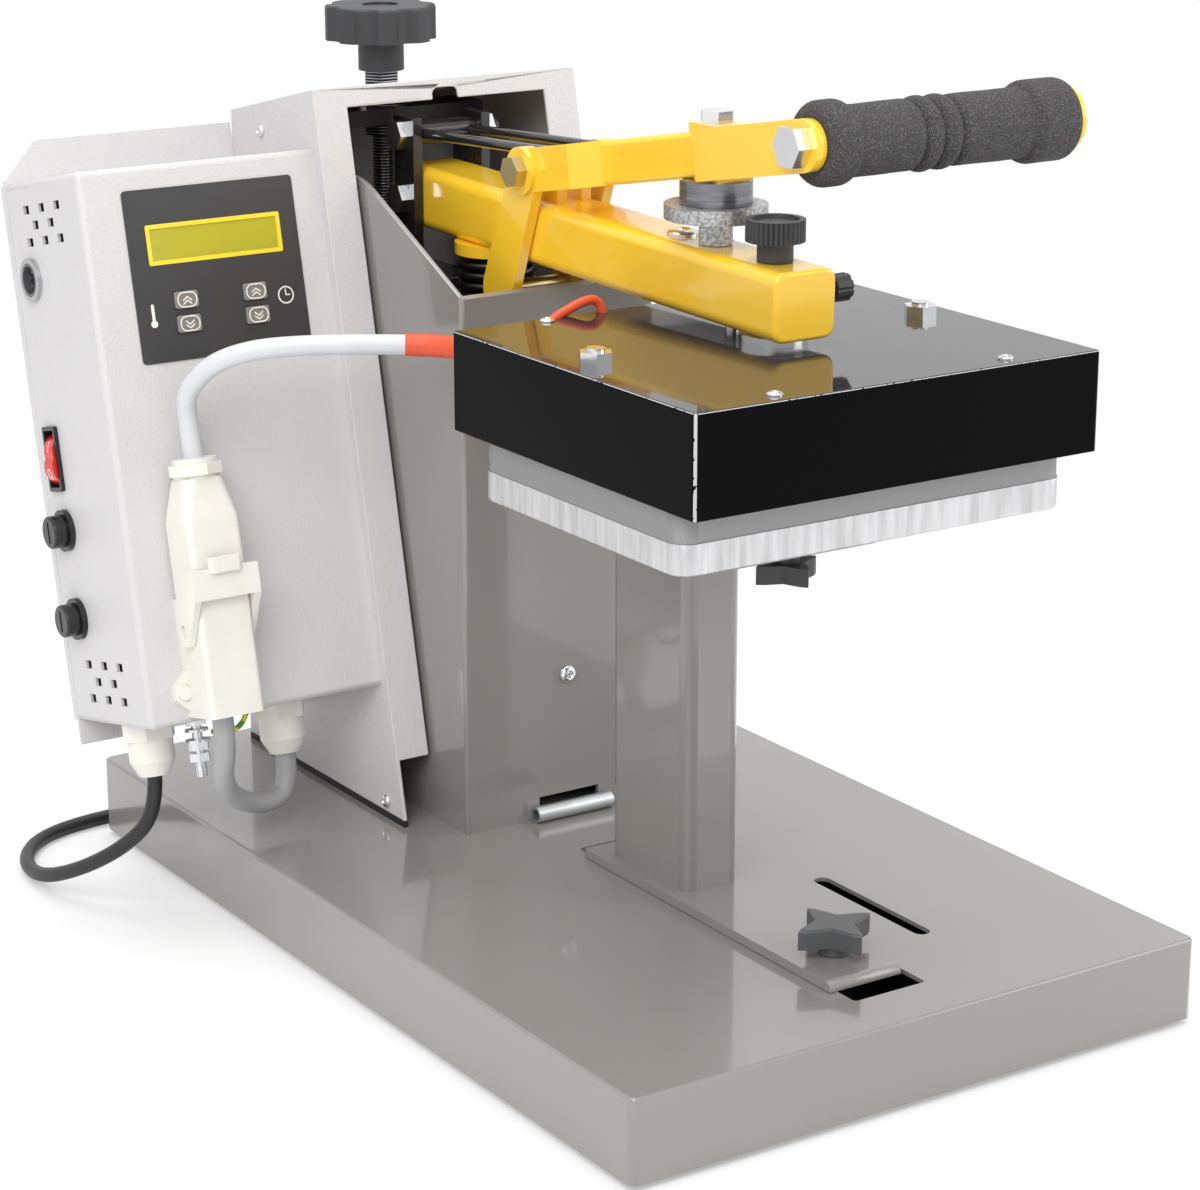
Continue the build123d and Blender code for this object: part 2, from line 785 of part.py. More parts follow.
lever_bar_u = 66.0
arm_gap = 0.3
with BuildPart() as connector_lever:
    for side in (-1, 1):
        near = connector_x + side * (housing_half + arm_gap)
        with BuildSketch(across(near)):
            with BuildLine():
                points = [box_point(0, u, out) for u, out in
                          ((37, 10), (37, 18), (58, 31), (72, 31), (72, 27), (50, 9))]
                Polyline(*[(p.Y, p.Z) for p in points], close=True)
            make_face()
            with Locations((pivot.Y, pivot.Z)):
                Circle(3.0 + pin_gap, mode=Mode.SUBTRACT)
        extrude(amount=side * 3.0)
    with BuildSketch(rising(58, connector_x)):
        with Locations((0, -29)):
            Rectangle(2 * (housing_half + arm_gap + 3.0), 4)
    extrude(amount=14)
    with BuildSketch(rising(70, connector_x)):
        with Locations((0, -31)):
            RectangleRounded(16, 5, 2)
    extrude(amount=7)
connector_lever.part.label = "connector_lever"
export_step(connector_lever.part, "parts/connector_lever.step")

with BuildPart() as connector_hood:
    with BuildSketch(rising(housing_top, connector_x)):
        with Locations((0, -13.5)):
            RectangleRounded(2 * housing_half, 25, 3)
    extrude(amount=36)
    with BuildSketch(rising(housing_top + 36, connector_x)):
        with Locations((0, -13.5)):
            RectangleRounded(2 * housing_half, 25, 3)
    with BuildSketch(rising(hood_top_u, connector_x)):
        with Locations((0, -13.5)):
            RectangleRounded(2 * housing_half - 7, 20, 6)
    loft(ruled=True)
    with BuildSketch(rising(hood_top_u, connector_x)):
        with Locations((0, -13.5)):
            Circle(10.5)
    extrude(amount=nut_top_u - hood_top_u)
    with BuildSketch(rising(hood_top_u + 1.5, connector_x)):
        with Locations((0, -13.5)):
            RegularPolygon(12.0, 8, major_radius=False)
    extrude(amount=5)
connector_hood.part.label = "connector_hood"
export_step(connector_hood.part, "parts/connector_hood.step")


# Carriage: two flat bars, a nut block and cross pins
with BuildPart() as ladder_plates:
    for side in (-1, 1):
        with BuildSketch(across(side * ladder_inner)):
            with Locations(((ladder_front + ladder_rear) / 2, (ladder_foot + ladder_top) / 2)):
                Rectangle(ladder_rear - ladder_front, ladder_top - ladder_foot)
            for bolt_z, bolt_r in ((sleeve_z, arm_bolt_radius), (arm_pivot_z, arm_bolt_radius)):
                with Locations((pivot_y, bolt_z)):
                    Circle(bolt_r, mode=Mode.SUBTRACT)
        extrude(amount=side * ladder_thick)
    with BuildSketch(level(nut_block_foot)):
        with Locations((0, (ladder_front + nut_block_rear) / 2)):
            Rectangle(2 * ladder_inner, nut_block_rear - ladder_front)
        with Locations((0, spindle_y)):
            Circle(spindle_radius + 0.1, mode=Mode.SUBTRACT)
    extrude(amount=nut_block_top - nut_block_foot)
    with BuildSketch(level(ladder_foot)):
        with Locations((0, (ladder_front + ladder_rear) / 2)):
            Rectangle(2 * ladder_inner, ladder_rear - ladder_front)
    extrude(amount=18)
ladder_plates.part.label = "ladder_plates"
export_step(ladder_plates.part, "parts/ladder_plates.step")

plate_outer = ladder_inner + ladder_thick
with BuildPart() as carriage_bolts:
    with BuildSketch(across(-plate_outer, pivot_y, arm_pivot_z)):
        Circle(arm_bolt_radius)
    extrude(amount=2 * plate_outer + 3)
    with BuildSketch(across(-plate_outer, pivot_y, arm_pivot_z)):
        RegularPolygon(6.5, 6, major_radius=False)
    extrude(amount=-5.5)
    with BuildSketch(across(plate_outer, pivot_y, arm_pivot_z)):
        RegularPolygon(6.5, 6, major_radius=False)
    extrude(amount=6.5)
    with BuildSketch(across(-plate_outer, pivot_y, sleeve_z)):
        Circle(arm_bolt_radius)
    extrude(amount=2 * plate_outer)
    with BuildSketch(across(-plate_outer, pivot_y, sleeve_z)):
        RegularPolygon(6.5, 6, major_radius=False)
    extrude(amount=-5.5)
    with BuildSketch(across(plate_outer, pivot_y, sleeve_z)):
        RegularPolygon(6.5, 6, major_radius=False)
    extrude(amount=5)
    with BuildSketch(across(plate_outer + 5, pivot_y, sleeve_z)):
        Circle(6.2)
    with BuildSketch(across(plate_outer + 9.5, pivot_y, sleeve_z)):
        Circle(3.0)
    loft()
carriage_bolts.part.label = "carriage_bolts"
export_step(carriage_bolts.part, "parts/carriage_bolts.step")


# Column's guides for the carriage and the spindle's bearing
with BuildPart() as column_brackets:
    for guide_z in guide_heights:
        with BuildSketch(level(guide_z)):
            with Locations((0, (ladder_front + ladder_rear) / 2)):
                Rectangle(2 * (column_half - column_sheet), ladder_rear - ladder_front + 12)
                Rectangle(2 * (plate_outer + slide_gap), ladder_rear - ladder_front + 2 * slide_gap,
                          mode=Mode.SUBTRACT)
        extrude(amount=10)
    bearing_half = column_half - column_sheet
    with BuildSketch(level(bearing_top)):
        with Locations((0, (bearing_front + column_rear) / 2)):
            Rectangle(2 * bearing_half, column_rear - bearing_front)
        with Locations((0, spindle_y)):
            Circle(spindle_radius + pin_gap, mode=Mode.SUBTRACT)
    extrude(amount=-bearing_thick)
    for side in (-1, 1):
        with BuildSketch(level(bearing_top - bearing_thick,
                               side * (bearing_half - 2), (bearing_front + column_rear) / 2)):
            Rectangle(4, column_rear - bearing_front)
        extrude(amount=-60)
    with BuildSketch(level(spring_seat)):
        shelf_front = column_front + column_sheet
        shelf_rear = spring_y + spring_radius + 6
        with Locations((0, (shelf_front + shelf_rear) / 2)):
            Rectangle(2 * (column_half - column_sheet), shelf_rear - shelf_front)
    extrude(amount=-6)
    with BuildSketch(level(spring_seat, 0, spring_y)):
        Circle(spring_radius - spring_wire / 2 - 1)
    extrude(amount=12)
column_brackets.part.label = "column_brackets"
export_step(column_brackets.part, "parts/column_brackets.step")


# Pressure spindle and its lobed knob
with BuildPart() as pressure_spindle:
    with BuildSketch(level(spindle_foot, 0, spindle_y)):
        Circle(spindle_radius)
    extrude(amount=knob_hub_foot + knob_hub_height - 2 - spindle_foot)
    with BuildSketch(level(bearing_top, 0, spindle_y)):
        RegularPolygon(spindle_hex / 2, 6, major_radius=False)
    extrude(amount=knob_hub_foot - bearing_top)
    with BuildSketch(level(bearing_top - bearing_thick - seat_gap, 0, spindle_y)):
        Circle(8.5)
    extrude(amount=-6)
pressure_spindle.part.label = "pressure_spindle"
export_step(pressure_spindle.part, "parts/pressure_spindle.step")

knob_foot = knob_hub_foot + knob_hub_height
with BuildPart() as pressure_knob:
    with BuildSketch(level(knob_hub_foot, 0, spindle_y)):
        Circle(knob_hub_radius)
    extrude(amount=knob_hub_height)
    with BuildSketch(level(knob_foot, 0, spindle_y)):
        Circle(knob_radius)
        with PolarLocations(knob_radius + 6.5, knob_lobes):
            Circle(9.5, mode=Mode.SUBTRACT)
    extrude(amount=knob_height)
    fillet(pressure_knob.faces().sort_by(Axis.Z)[-1].edges(), 1.6)
    with BuildSketch(level(knob_foot + knob_height, 0, spindle_y)):
        Circle(9.0)
    extrude(amount=-1.2, mode=Mode.SUBTRACT)
    with BuildSketch(level(knob_hub_foot, 0, spindle_y)):
        Circle(spindle_radius)
    extrude(amount=knob_hub_height - 2, mode=Mode.SUBTRACT)
pressure_knob.part.label = "pressure_knob"
export_step(pressure_knob.part, "parts/pressure_knob.step")

# Main arm: a closed tube with lugs on top for the yoke and a cap for the lift spring
arm_slope = (arm_pivot_z - arm_front_z) / (pivot_y - arm_front)
arm_angle = atan(arm_slope)
arm_length = (arm_rear - arm_front) / cos(arm_angle)


def arm_centre(y):
    return arm_front_z + arm_slope * (y - arm_front)


def arm_top(y):
    return arm_centre(y) + arm_height / 2 / cos(arm_angle)


def arm_foot(y):
    return arm_centre(y) - arm_height / 2 / cos(arm_angle)


arm_along = Vector(0, cos(arm_angle), sin(arm_angle))
arm_end = Plane(origin=(0, arm_front, arm_front_z), x_dir=(1, 0, 0), z_dir=arm_along)
spring_cap_foot = arm_foot(spring_y) - spring_cap
knob_side_y = -138.0
knob_side_z = 329.0
with BuildPart() as main_arm:
    with BuildSketch(arm_end):
        RectangleRounded(2 * arm_half, arm_height, arm_edge)
    extrude(amount=arm_length)
    fillet(main_arm.edges().group_by(Axis.Y)[0], 2.0)
    with BuildSketch(arm_end.offset(arm_wall)):
        RectangleRounded(2 * (arm_half - arm_wall), arm_height - 2 * arm_wall, arm_edge - arm_wall)
    extrude(amount=arm_length, mode=Mode.SUBTRACT)
    for side in (-1, 1):
        with BuildSketch(across(side * lug_inner)):
            with Locations((yoke_y, yoke_z)):
                Circle(lug_radius)
            with Locations((yoke_y, (yoke_z + arm_top(yoke_y) - 1) / 2)):
                Rectangle(2 * lug_radius, yoke_z - arm_top(yoke_y) + 1)
            with Locations((yoke_y, yoke_z)):
                Circle(yoke_bolt_radius + pin_gap, mode=Mode.SUBTRACT)
        extrude(amount=side * lug_thick)
    with BuildSketch(level(spring_cap_foot, 0, spring_y)):
        Circle(spring_radius + spring_wire / 2 + 1)
    extrude(amount=spring_cap + 0.5)
    with BuildSketch(level(arm_foot(thumb_y) - 2, 0, thumb_y)):
        Circle(5.0 + pin_gap)
    extrude(amount=arm_height + 6, mode=Mode.SUBTRACT)
    with BuildSketch(across(-arm_half - 1, pivot_y, arm_pivot_z)):
        Circle(arm_bolt_radius + pin_gap)
    extrude(amount=2 * arm_half + 2, mode=Mode.SUBTRACT)
    with BuildSketch(across(arm_half + 1, knob_side_y, knob_side_z)):
        Circle(3.0 + pin_gap)
    extrude(amount=-arm_wall - 2, mode=Mode.SUBTRACT)
main_arm.part.label = "main_arm"
export_step(main_arm.part, "parts/main_arm.step")

# Lift spring: one wound wire, compressed between the column's seat and the arm
spring_foot = spring_seat + spring_wire / 2 + seat_gap
spring_head = spring_cap_foot - spring_wire / 2 - seat_gap
spring_turns = 21
spring_pitch = (spring_head - spring_foot) / spring_turns
# Each half turn is two arcs that meet on its middle radius and are tangent all round
spring_climb = atan(spring_pitch / (2 * pi * spring_radius))
quarter_rise = spring_pitch / 4
lean_in = quarter_rise * sin(spring_climb)
chord = cos(spring_climb) * sqrt(spring_radius ** 2 + quarter_rise ** 2)
middle_radius = (sqrt(lean_in ** 2 + chord ** 2) - lean_in) / cos(spring_climb)

with BuildPart() as lift_spring:
    with BuildLine() as spring_line:
        for half_turn in range(2 * spring_turns):
            side = 1 if half_turn % 2 == 0 else -1
            height = spring_foot + half_turn * spring_pitch / 2
            start = Vector(side * spring_radius, spring_y, height)
            middle = Vector(0, spring_y + side * middle_radius, height + quarter_rise)
            finish = Vector(-side * spring_radius, spring_y, height + 2 * quarter_rise)
            rising_start = Vector(0, side * cos(spring_climb), sin(spring_climb))
            reach = middle - start
            rising_middle = reach * (2 * rising_start.dot(reach) / reach.dot(reach)) - rising_start
            TangentArc(start, middle, tangent=rising_start)
            TangentArc(middle, finish, tangent=rising_middle)
    spring_start = Vector(spring_radius, spring_y, spring_foot)
    start_way = Vector(0, cos(spring_climb), sin(spring_climb))
    with BuildSketch(Plane(origin=spring_start, z_dir=start_way)):
        RegularPolygon(spring_wire / 2, 8)
    sweep(path=spring_line.wires()[0])
print("lift spring least gap", round(least_gap(spring_line.wires()[0], spring_wire), 2))
lift_spring.part.label = "lift_spring"
export_step(lift_spring.part, "parts/lift_spring.step")


# Handle lever: a tube and an end blade on a yoke that straddles the arm
lever_angle = radians(lever_slope)
forward = Vector(0, -cos(lever_angle), sin(lever_angle))
upward = Vector(0, sin(lever_angle), cos(lever_angle))
yoke_centre = Vector(0, yoke_y, yoke_z)
filler_start = 28.0
filler_end = 38.0
lever_wall = 2.0
cheek_outer = cheek_inner + cheek_thick


def lever_side(x):
    """A plane square to X: its X runs forward along the lever, its Y up."""
    return Plane(origin=yoke_centre + Vector(x, 0, 0), x_dir=forward, z_dir=(-1, 0, 0))


def lever_end(distance):
    """A plane square to the lever: its X is +X and its Y is square to the lever."""
    return Plane(origin=yoke_centre + forward * distance, x_dir=(1, 0, 0), z_dir=forward)


def strap(place_a, radius_a, place_b, radius_b):
    """Two discs joined by their outer tangents, in the current sketch."""
    reach = Vector(*place_b) - Vector(*place_a)
    along = reach.normalized()
    square = Vector(-along.Y, along.X)
    tilt = (radius_a - radius_b) / reach.length
    spread = sqrt(1 - tilt ** 2)
    corners = []
    for place, radius in ((Vector(*place_a), radius_a), (Vector(*place_b), radius_b)):
        for side in (1, -1):
            corners.append(place + along * (tilt * radius) + square * (side * spread * radius))
    for place, radius in ((place_a, radius_a), (place_b, radius_b)):
        with Locations(place):
            Circle(radius)
    first, second, third, fourth = [(corner.X, corner.Y) for corner in corners]
    Polygon(first, second, fourth, third, align=None)


cheek_reach = Vector(0, cheek_foot_y, cheek_foot_z) - yoke_centre
cheek_foot = (cheek_reach.dot(forward), cheek_reach.dot(upward))
handle_reach = Vector(0, handle_y, handle_z) - yoke_centre
handle_place = (handle_reach.dot(forward), handle_reach.dot(upward))


def lever_height(y):
    return yoke_z + (yoke_y - y) * tan(lever_angle)


lever_depth = lever_half / cos(lever_angle)
magnet_bolt_radius = 4.0
magnet_top = 369.5
nut_seat = 393.4
with BuildPart() as handle_lever:
    for side in (-1, 1):
        with BuildSketch(lever_side(side * cheek_inner)):
            strap((0, 0), yoke_boss, cheek_foot, cheek_foot_radius)
            with Locations(((filler_end + 0) / 2, 0)):
                Rectangle(filler_end, 2 * lever_half)
        extrude(amount=-side * cheek_thick)
        with BuildSketch(lever_side(side * cheek_outer)):
            Circle(yoke_boss)
        extrude(amount=-side * boss_proud)
    with BuildSketch(lever_end(filler_start)):
        Rectangle(2 * cheek_inner + 1, 2 * lever_half)
    extrude(amount=filler_end - filler_start)
    with BuildSketch(lever_end(filler_end)):
        Rectangle(2 * cheek_outer, 2 * lever_half)
    with BuildSketch(lever_end(filler_end + 9)):
        Rectangle(2 * lever_half, 2 * lever_half)
    loft(ruled=True)
    with BuildSketch(lever_end(lever_start)):
        RectangleRounded(2 * lever_half, 2 * lever_half, 2.5)
    extrude(amount=lever_tube_end - lever_start)
    with BuildSketch(lever_end(filler_end + 10)):
        RectangleRounded(2 * (lever_half - lever_wall), 2 * (lever_half - lever_wall), 1)
    extrude(amount=lever_tube_end - filler_end - 12, mode=Mode.SUBTRACT)
    with BuildSketch(lever_side(-lever_half)):
        blade_start = lever_tube_end - 12
        with Locations(((blade_start + blade_end) / 2 - blade_height / 4, handle_place[1])):
            Rectangle(blade_end - blade_start - blade_height / 2, blade_height)
        with Locations((blade_end - blade_height / 2, handle_place[1])):
            Circle(blade_height / 2)
    extrude(amount=blade_thick)
    with BuildSketch(Plane.YZ.offset(-lever_half + 1)):
        with BuildLine():
            rear_y = magnet_y + magnet_radius
            under_front = magnet_y - magnet_radius + 2
            flat_y = yoke_y - (magnet_top + lever_depth - yoke_z) / tan(lever_angle)
            Polyline((under_front, magnet_top), (under_front, lever_height(under_front) - lever_depth + 1),
                     (flat_y, magnet_top + 1), (flat_y, magnet_top), close=True)
        make_face()
        with BuildLine():
            top_front = yoke_y - (nut_seat - lever_depth - yoke_z) / tan(lever_angle)
            Polyline((top_front, nut_seat), (magnet_y + 8, nut_seat),
                     (magnet_y + 8, lever_height(magnet_y + 8) + lever_depth - 1),
                     (top_front, nut_seat - 1), close=True)
        make_face()
    extrude(amount=2 * lever_half - 2)
    with BuildSketch(level(magnet_top - 2, 0, magnet_y)):
        Circle(magnet_bolt_radius + 0.1)
    extrude(amount=nut_seat - magnet_top + 8, mode=Mode.SUBTRACT)
    with BuildSketch(lever_side(cheek_outer + boss_proud + 1)):
        Circle(yoke_bolt_radius)
    extrude(amount=2 * (cheek_outer + boss_proud + 1), mode=Mode.SUBTRACT)
    with BuildSketch(lever_side(-lever_half + 1)):
        with Locations(handle_place):
            Circle(5.0)
    extrude(amount=blade_thick + 2, mode=Mode.SUBTRACT)
handle_lever.part.label = "handle_lever"
export_step(handle_lever.part, "parts/handle_lever.step")

boss_face = cheek_outer + boss_proud
with BuildPart() as yoke_bolt:
    with BuildSketch(lever_side(-boss_face)):
        RegularPolygon(6.5, 6, major_radius=False)
    extrude(amount=5.5)
    with BuildSketch(lever_side(boss_face + 7)):
        Circle(yoke_bolt_radius)
    extrude(amount=2 * boss_face + 7)
    with BuildSketch(lever_side(boss_face + 6.5)):
        RegularPolygon(6.5, 6, major_radius=False)
    extrude(amount=6.5)
    with BuildSketch(lever_side(cheek_inner)):
        with Locations(cheek_foot):
            Circle(4.0)
    extrude(amount=2 * cheek_inner)
yoke_bolt.part.label = "yoke_bolt"
export_step(yoke_bolt.part, "parts/yoke_bolt.step")

# Stop pin between the cheeks, under the arm

# Guide rods: they swing on a chrome sleeve and pass over the yoke bolt
rod_reach = Vector(0, yoke_y - pivot_y, yoke_z + rod_lift - sleeve_z)
rod_along = rod_reach.normalized()
sleeve_centre = Vector(0, pivot_y, sleeve_z)
with BuildPart() as guide_rods:
    for side in (-1, 1):
        rod_start = sleeve_centre + rod_along * (sleeve_radius + 0.1) + Vector(side * rod_x, 0, 0)
        with BuildSketch(Plane(origin=rod_start, z_dir=rod_along)):
            Circle(rod_radius)
        extrude(amount=rod_reach.length + rod_tip - sleeve_radius - 0.1)
    with BuildSketch(across(-ladder_inner + seat_gap, pivot_y, sleeve_z)):
        Circle(sleeve_radius)
        Circle(arm_bolt_radius + pin_gap, mode=Mode.SUBTRACT)
    extrude(amount=2 * (ladder_inner - seat_gap))
guide_rods.part.label = "guide_rods"
export_step(guide_rods.part, "parts/guide_rods.step")


blade_face = lever_half + blade_thick

# Grip: foam on a core tube, with a bolt at the blade and a disc and nut at the far end
grip_axis = Axis((0, handle_y, handle_z), (1, 0, 0))
grip_plane = Plane(origin=(0, handle_y, handle_z), x_dir=(1, 0, 0), z_dir=(0, -1, 0))
grip_foot = -lever_half + 0.2
with BuildPart() as foam_grip:
    with BuildSketch(grip_plane):
        with BuildLine():
            neck = foam_left + 12
            far = foam_right - 14
            Polyline((neck, foam_radius), (foam_left + 9, foam_flange), (foam_left + 1.5, foam_flange),
                     (foam_left, foam_flange - 1.5), (foam_left, grip_core + 0.1),
                     (foam_right, grip_core + 0.1), (foam_right, foam_flange - 2),
                     (foam_right - 2, foam_flange - 0.3), (far + 2, foam_flange - 0.3), (far, foam_radius))
            ThreePointArc((far, foam_radius), ((neck + far) / 2, foam_radius + foam_swell),
                          (neck, foam_radius))
        make_face()
    revolve(axis=grip_axis)
    for groove_x in (42.0, 53.5, 66.0):
        with BuildSketch(across(groove_x, handle_y, handle_z)):
            Circle(foam_radius + 4)
            Circle(foam_radius + foam_swell - 1.4, mode=Mode.SUBTRACT)
        extrude(amount=1.4, mode=Mode.SUBTRACT)
foam_grip.part.label = "foam_grip"
export_step(foam_grip.part, "parts/foam_grip.step")

grip_disc = 2.6
with BuildPart() as grip_tube:
    with BuildSketch(across(-lever_half, handle_y, handle_z)):
        Circle(grip_core)
    extrude(amount=foam_right + lever_half)
    with BuildSketch(across(foam_right, handle_y, handle_z)):
        Circle(foam_flange - 4)
    extrude(amount=grip_disc)
    with BuildSketch(across(-lever_half, handle_y, handle_z)):
        Circle(5.0)
    extrude(amount=foam_right + lever_half + grip_disc, mode=Mode.SUBTRACT)
    with BuildSketch(across(-blade_face, handle_y, handle_z)):
        RegularPolygon(8.0, 6, major_radius=False)
    extrude(amount=-6.5)
    with BuildSketch(across(-blade_face, handle_y, handle_z)):
        Circle(5.0)
    extrude(amount=blade_face + foam_right + grip_disc + 4)
    with BuildSketch(across(foam_right + grip_disc, handle_y, handle_z)):
        RegularPolygon(8.0, 6, major_radius=False)
    extrude(amount=3.5)
grip_tube.part.label = "grip_tube"
export_step(grip_tube.part, "parts/grip_tube.step")


# Electromagnet under the lever and the armature disc on the arm
under_lever = Plane(origin=yoke_centre - upward * lever_half, x_dir=(1, 0, 0), z_dir=upward)
with BuildPart() as electromagnet:
    with BuildSketch(level(magnet_foot, 0, magnet_y)):
        Circle(magnet_radius)
    extrude(amount=magnet_top - magnet_foot)
    with BuildSketch(level(magnet_foot, 0, magnet_y)):
        Circle(magnet_radius - 2.2)
        Circle(magnet_radius - 3.0, mode=Mode.SUBTRACT)
    extrude(amount=0.6, mode=Mode.SUBTRACT)
    split(bisect_by=under_lever, keep=Keep.BOTTOM)
    with BuildSketch(level(magnet_top, 0, magnet_y)):
        Circle(magnet_bolt_radius)
    extrude(amount=nut_seat - magnet_top + 3)
    with BuildSketch(level(nut_seat, 0, magnet_y)):
        RegularPolygon(6.5, 6, major_radius=False)
    extrude(amount=5.2)
electromagnet.part.label = "electromagnet"
export_step(electromagnet.part, "parts/electromagnet.step")


with BuildPart() as armature_disc:
    with BuildSketch(level(armature_foot, 0, magnet_y)):
        Circle(armature_radius)
    extrude(amount=armature_thick)
    with BuildSketch(level(arm_top(magnet_y + stack_half) + 0.05, 0, magnet_y)):
        RegularPolygon(stack_half, 6, major_radius=False)
    extrude(amount=armature_foot - arm_top(magnet_y + stack_half) - 0.05)
armature_disc.part.label = "armature_disc"
export_step(armature_disc.part, "parts/armature_disc.step")

# Thumb screw through the arm, which steadies the heating plate
thumb_foot = arm_top(thumb_y + thumb_neck_radius) + pin_gap
with BuildPart() as thumb_screw:
    with BuildSketch(level(thumb_foot, 0, thumb_y)):
        Circle(thumb_neck_radius)
    extrude(amount=thumb_neck)
    with BuildSketch(level(thumb_foot + thumb_neck, 0, thumb_y)):
        Circle(thumb_radius)
        with PolarLocations(thumb_radius, 36):
            Rectangle(0.9, 0.9, rotation=45, mode=Mode.SUBTRACT)
    extrude(amount=thumb_height)
    with BuildSketch(level(thumb_foot + thumb_neck + thumb_height, 0, thumb_y)):
        Circle(thumb_radius - 2.5)
    extrude(amount=-1.6, taper=20, mode=Mode.SUBTRACT)
    with BuildSketch(level(thumb_foot, 0, thumb_y)):
        Circle(5.0)
    extrude(amount=cover_top - cover_sheet - 2 - thumb_foot)
thumb_screw.part.label = "thumb_screw"
export_step(thumb_screw.part, "parts/thumb_screw.step")


with BuildPart() as side_knob:
    with BuildSketch(across(arm_half + seat_gap, knob_side_y, knob_side_z)):
        Circle(4.0)
    extrude(amount=3)
    with BuildSketch(across(arm_half + seat_gap + 3, knob_side_y, knob_side_z)):
        Circle(6.0)
        with PolarLocations(6.6, 8):
            Circle(1.2, mode=Mode.SUBTRACT)
    extrude(amount=8)
    with BuildSketch(across(arm_half + seat_gap, knob_side_y, knob_side_z)):
        Circle(3.0)
    extrude(amount=-arm_wall)
side_knob.part.label = "side_knob"
export_step(side_knob.part, "parts/side_knob.step")

# Heating plate and the glossy cover over it
post_x = 85.0
post_y = -117.0
post_radius = 4.0
cable_hole_x = -58.2
cable_hole_z = 287.0
cover_middle = (cover_front + cover_rear) / 2
plate_middle = (plate_front + plate_rear) / 2
plate_top = cover_foot + 6.0
with BuildPart() as platen_cover:
    with BuildSketch(level(cover_foot)):
        with Locations((0, cover_middle)):
            RectangleRounded(2 * cover_half, cover_rear - cover_front, 2.5)
    extrude(amount=cover_top - cover_foot)
    fillet(platen_cover.edges().group_by(Axis.Z)[-1], 1.2)
    with BuildSketch(level(cover_foot)):
        with Locations((0, cover_middle)):
            Rectangle(2 * (cover_half - cover_sheet), cover_rear - cover_front - 2 * cover_sheet)
    extrude(amount=cover_top - cover_foot - cover_sheet, mode=Mode.SUBTRACT)
    with BuildSketch(level(cover_top)):
        with Locations((-post_x, post_y), (post_x, post_y)):
            Circle(post_radius + pin_gap)
        with Locations((0, thumb_y)):
            Circle(5.0 + pin_gap)
    extrude(amount=-2 * cover_sheet, mode=Mode.SUBTRACT)
    with BuildSketch(Plane.XZ.offset(-cover_rear)):
        with Locations((cable_hole_x, cable_hole_z)):
            Circle(sleeve_diameter / 2 + 0.4)
    extrude(amount=2 * cover_sheet, mode=Mode.SUBTRACT)
platen_cover.part.label = "platen_cover"
export_step(platen_cover.part, "parts/platen_cover.step")

with BuildPart() as heating_plate:
    with BuildSketch(level(plate_foot)):
        with Locations((0, plate_middle)):
            RectangleRounded(2 * plate_half, plate_rear - plate_front, plate_corner)
    extrude(amount=plate_lower)
    fillet(heating_plate.edges().group_by(Axis.Z)[0], 1.5)
    with BuildSketch(level(plate_foot + plate_lower)):
        with Locations((0, plate_middle)):
            RectangleRounded(2 * plate_half - 0.8, plate_rear - plate_front - 0.8, plate_corner)
    extrude(amount=plate_top - plate_foot - plate_lower)
heating_plate.part.label = "heating_plate"
export_step(heating_plate.part, "parts/heating_plate.step")

with BuildPart() as plate_posts:
    for side in (-1, 1):
        with BuildSketch(level(plate_top, side * post_x, post_y)):
            Circle(post_radius)
        extrude(amount=cover_top + 6 - plate_top)
        with BuildSketch(level(plate_top, side * post_x, post_y)):
            Circle(post_radius + 4)
        extrude(amount=cover_top - cover_sheet - plate_top - 0.1)
        with BuildSketch(level(cover_top, side * post_x, post_y)):
            RegularPolygon(6.5, 6, major_radius=False)
        extrude(amount=4.5)
    with BuildSketch(level(cover_top, 0, thumb_y)):
        Circle(collar_radius)
        Circle(5.0 + pin_gap, mode=Mode.SUBTRACT)
    extrude(amount=arm_foot(thumb_y - collar_radius) - cover_top - 0.05)
    with BuildSketch(level(cover_top, 0, stack_stud_y)):
        Circle(3.0)
    extrude(amount=arm_foot(stack_stud_y) - cover_top - 0.1)
plate_posts.part.label = "plate_posts"
export_step(plate_posts.part, "parts/plate_posts.step")

# Lower platen on its pedestal and sliding foot
foot_top = base_top + slide_gap + foot_thick
guide_left = slot_left + slide_gap
guide_foot = base_top - base_sheet - slide_gap
knob_stud = 4.0
nose_radius = 4.0
pad_top = plate_foot - pad_gap
bracket_top = pedestal_top + bracket_thick
platen_top = bracket_top + platen_thick
with BuildPart() as slide_foot:
    with BuildSketch(across(foot_left)):
        with BuildLine():
            low = base_top + slide_gap
            Polyline((foot_front + nose_radius, foot_top), (foot_rear, foot_top), (foot_rear, low),
                     (foot_front, low), (foot_front, foot_top - nose_radius))
            RadiusArc((foot_front, foot_top - nose_radius), (foot_front + nose_radius, foot_top),
                      nose_radius)
        make_face()
    extrude(amount=foot_right - foot_left)
    guide_middle = (foot_front + foot_rear) / 2
    guide_length = foot_rear - foot_front - 24
    with BuildSketch(level(base_top + slide_gap)):
        with Locations(((guide_left + foot_right) / 2, guide_middle)):
            Rectangle(foot_right - guide_left, guide_length)
    extrude(amount=guide_foot - base_top - slide_gap)
    with BuildSketch(level(guide_foot)):
        with Locations(((slot_left + slot_right) / 2, guide_middle)):
            Rectangle(slot_right - slot_left + 20, guide_length)
    extrude(amount=-keeper_thick)
    with BuildSketch(level(foot_top, 0, slide_knob_y)):
        Circle(knob_stud + pin_gap)
    extrude(amount=-20, mode=Mode.SUBTRACT)
slide_foot.part.label = "slide_foot"
export_step(slide_foot.part, "parts/slide_foot.step")

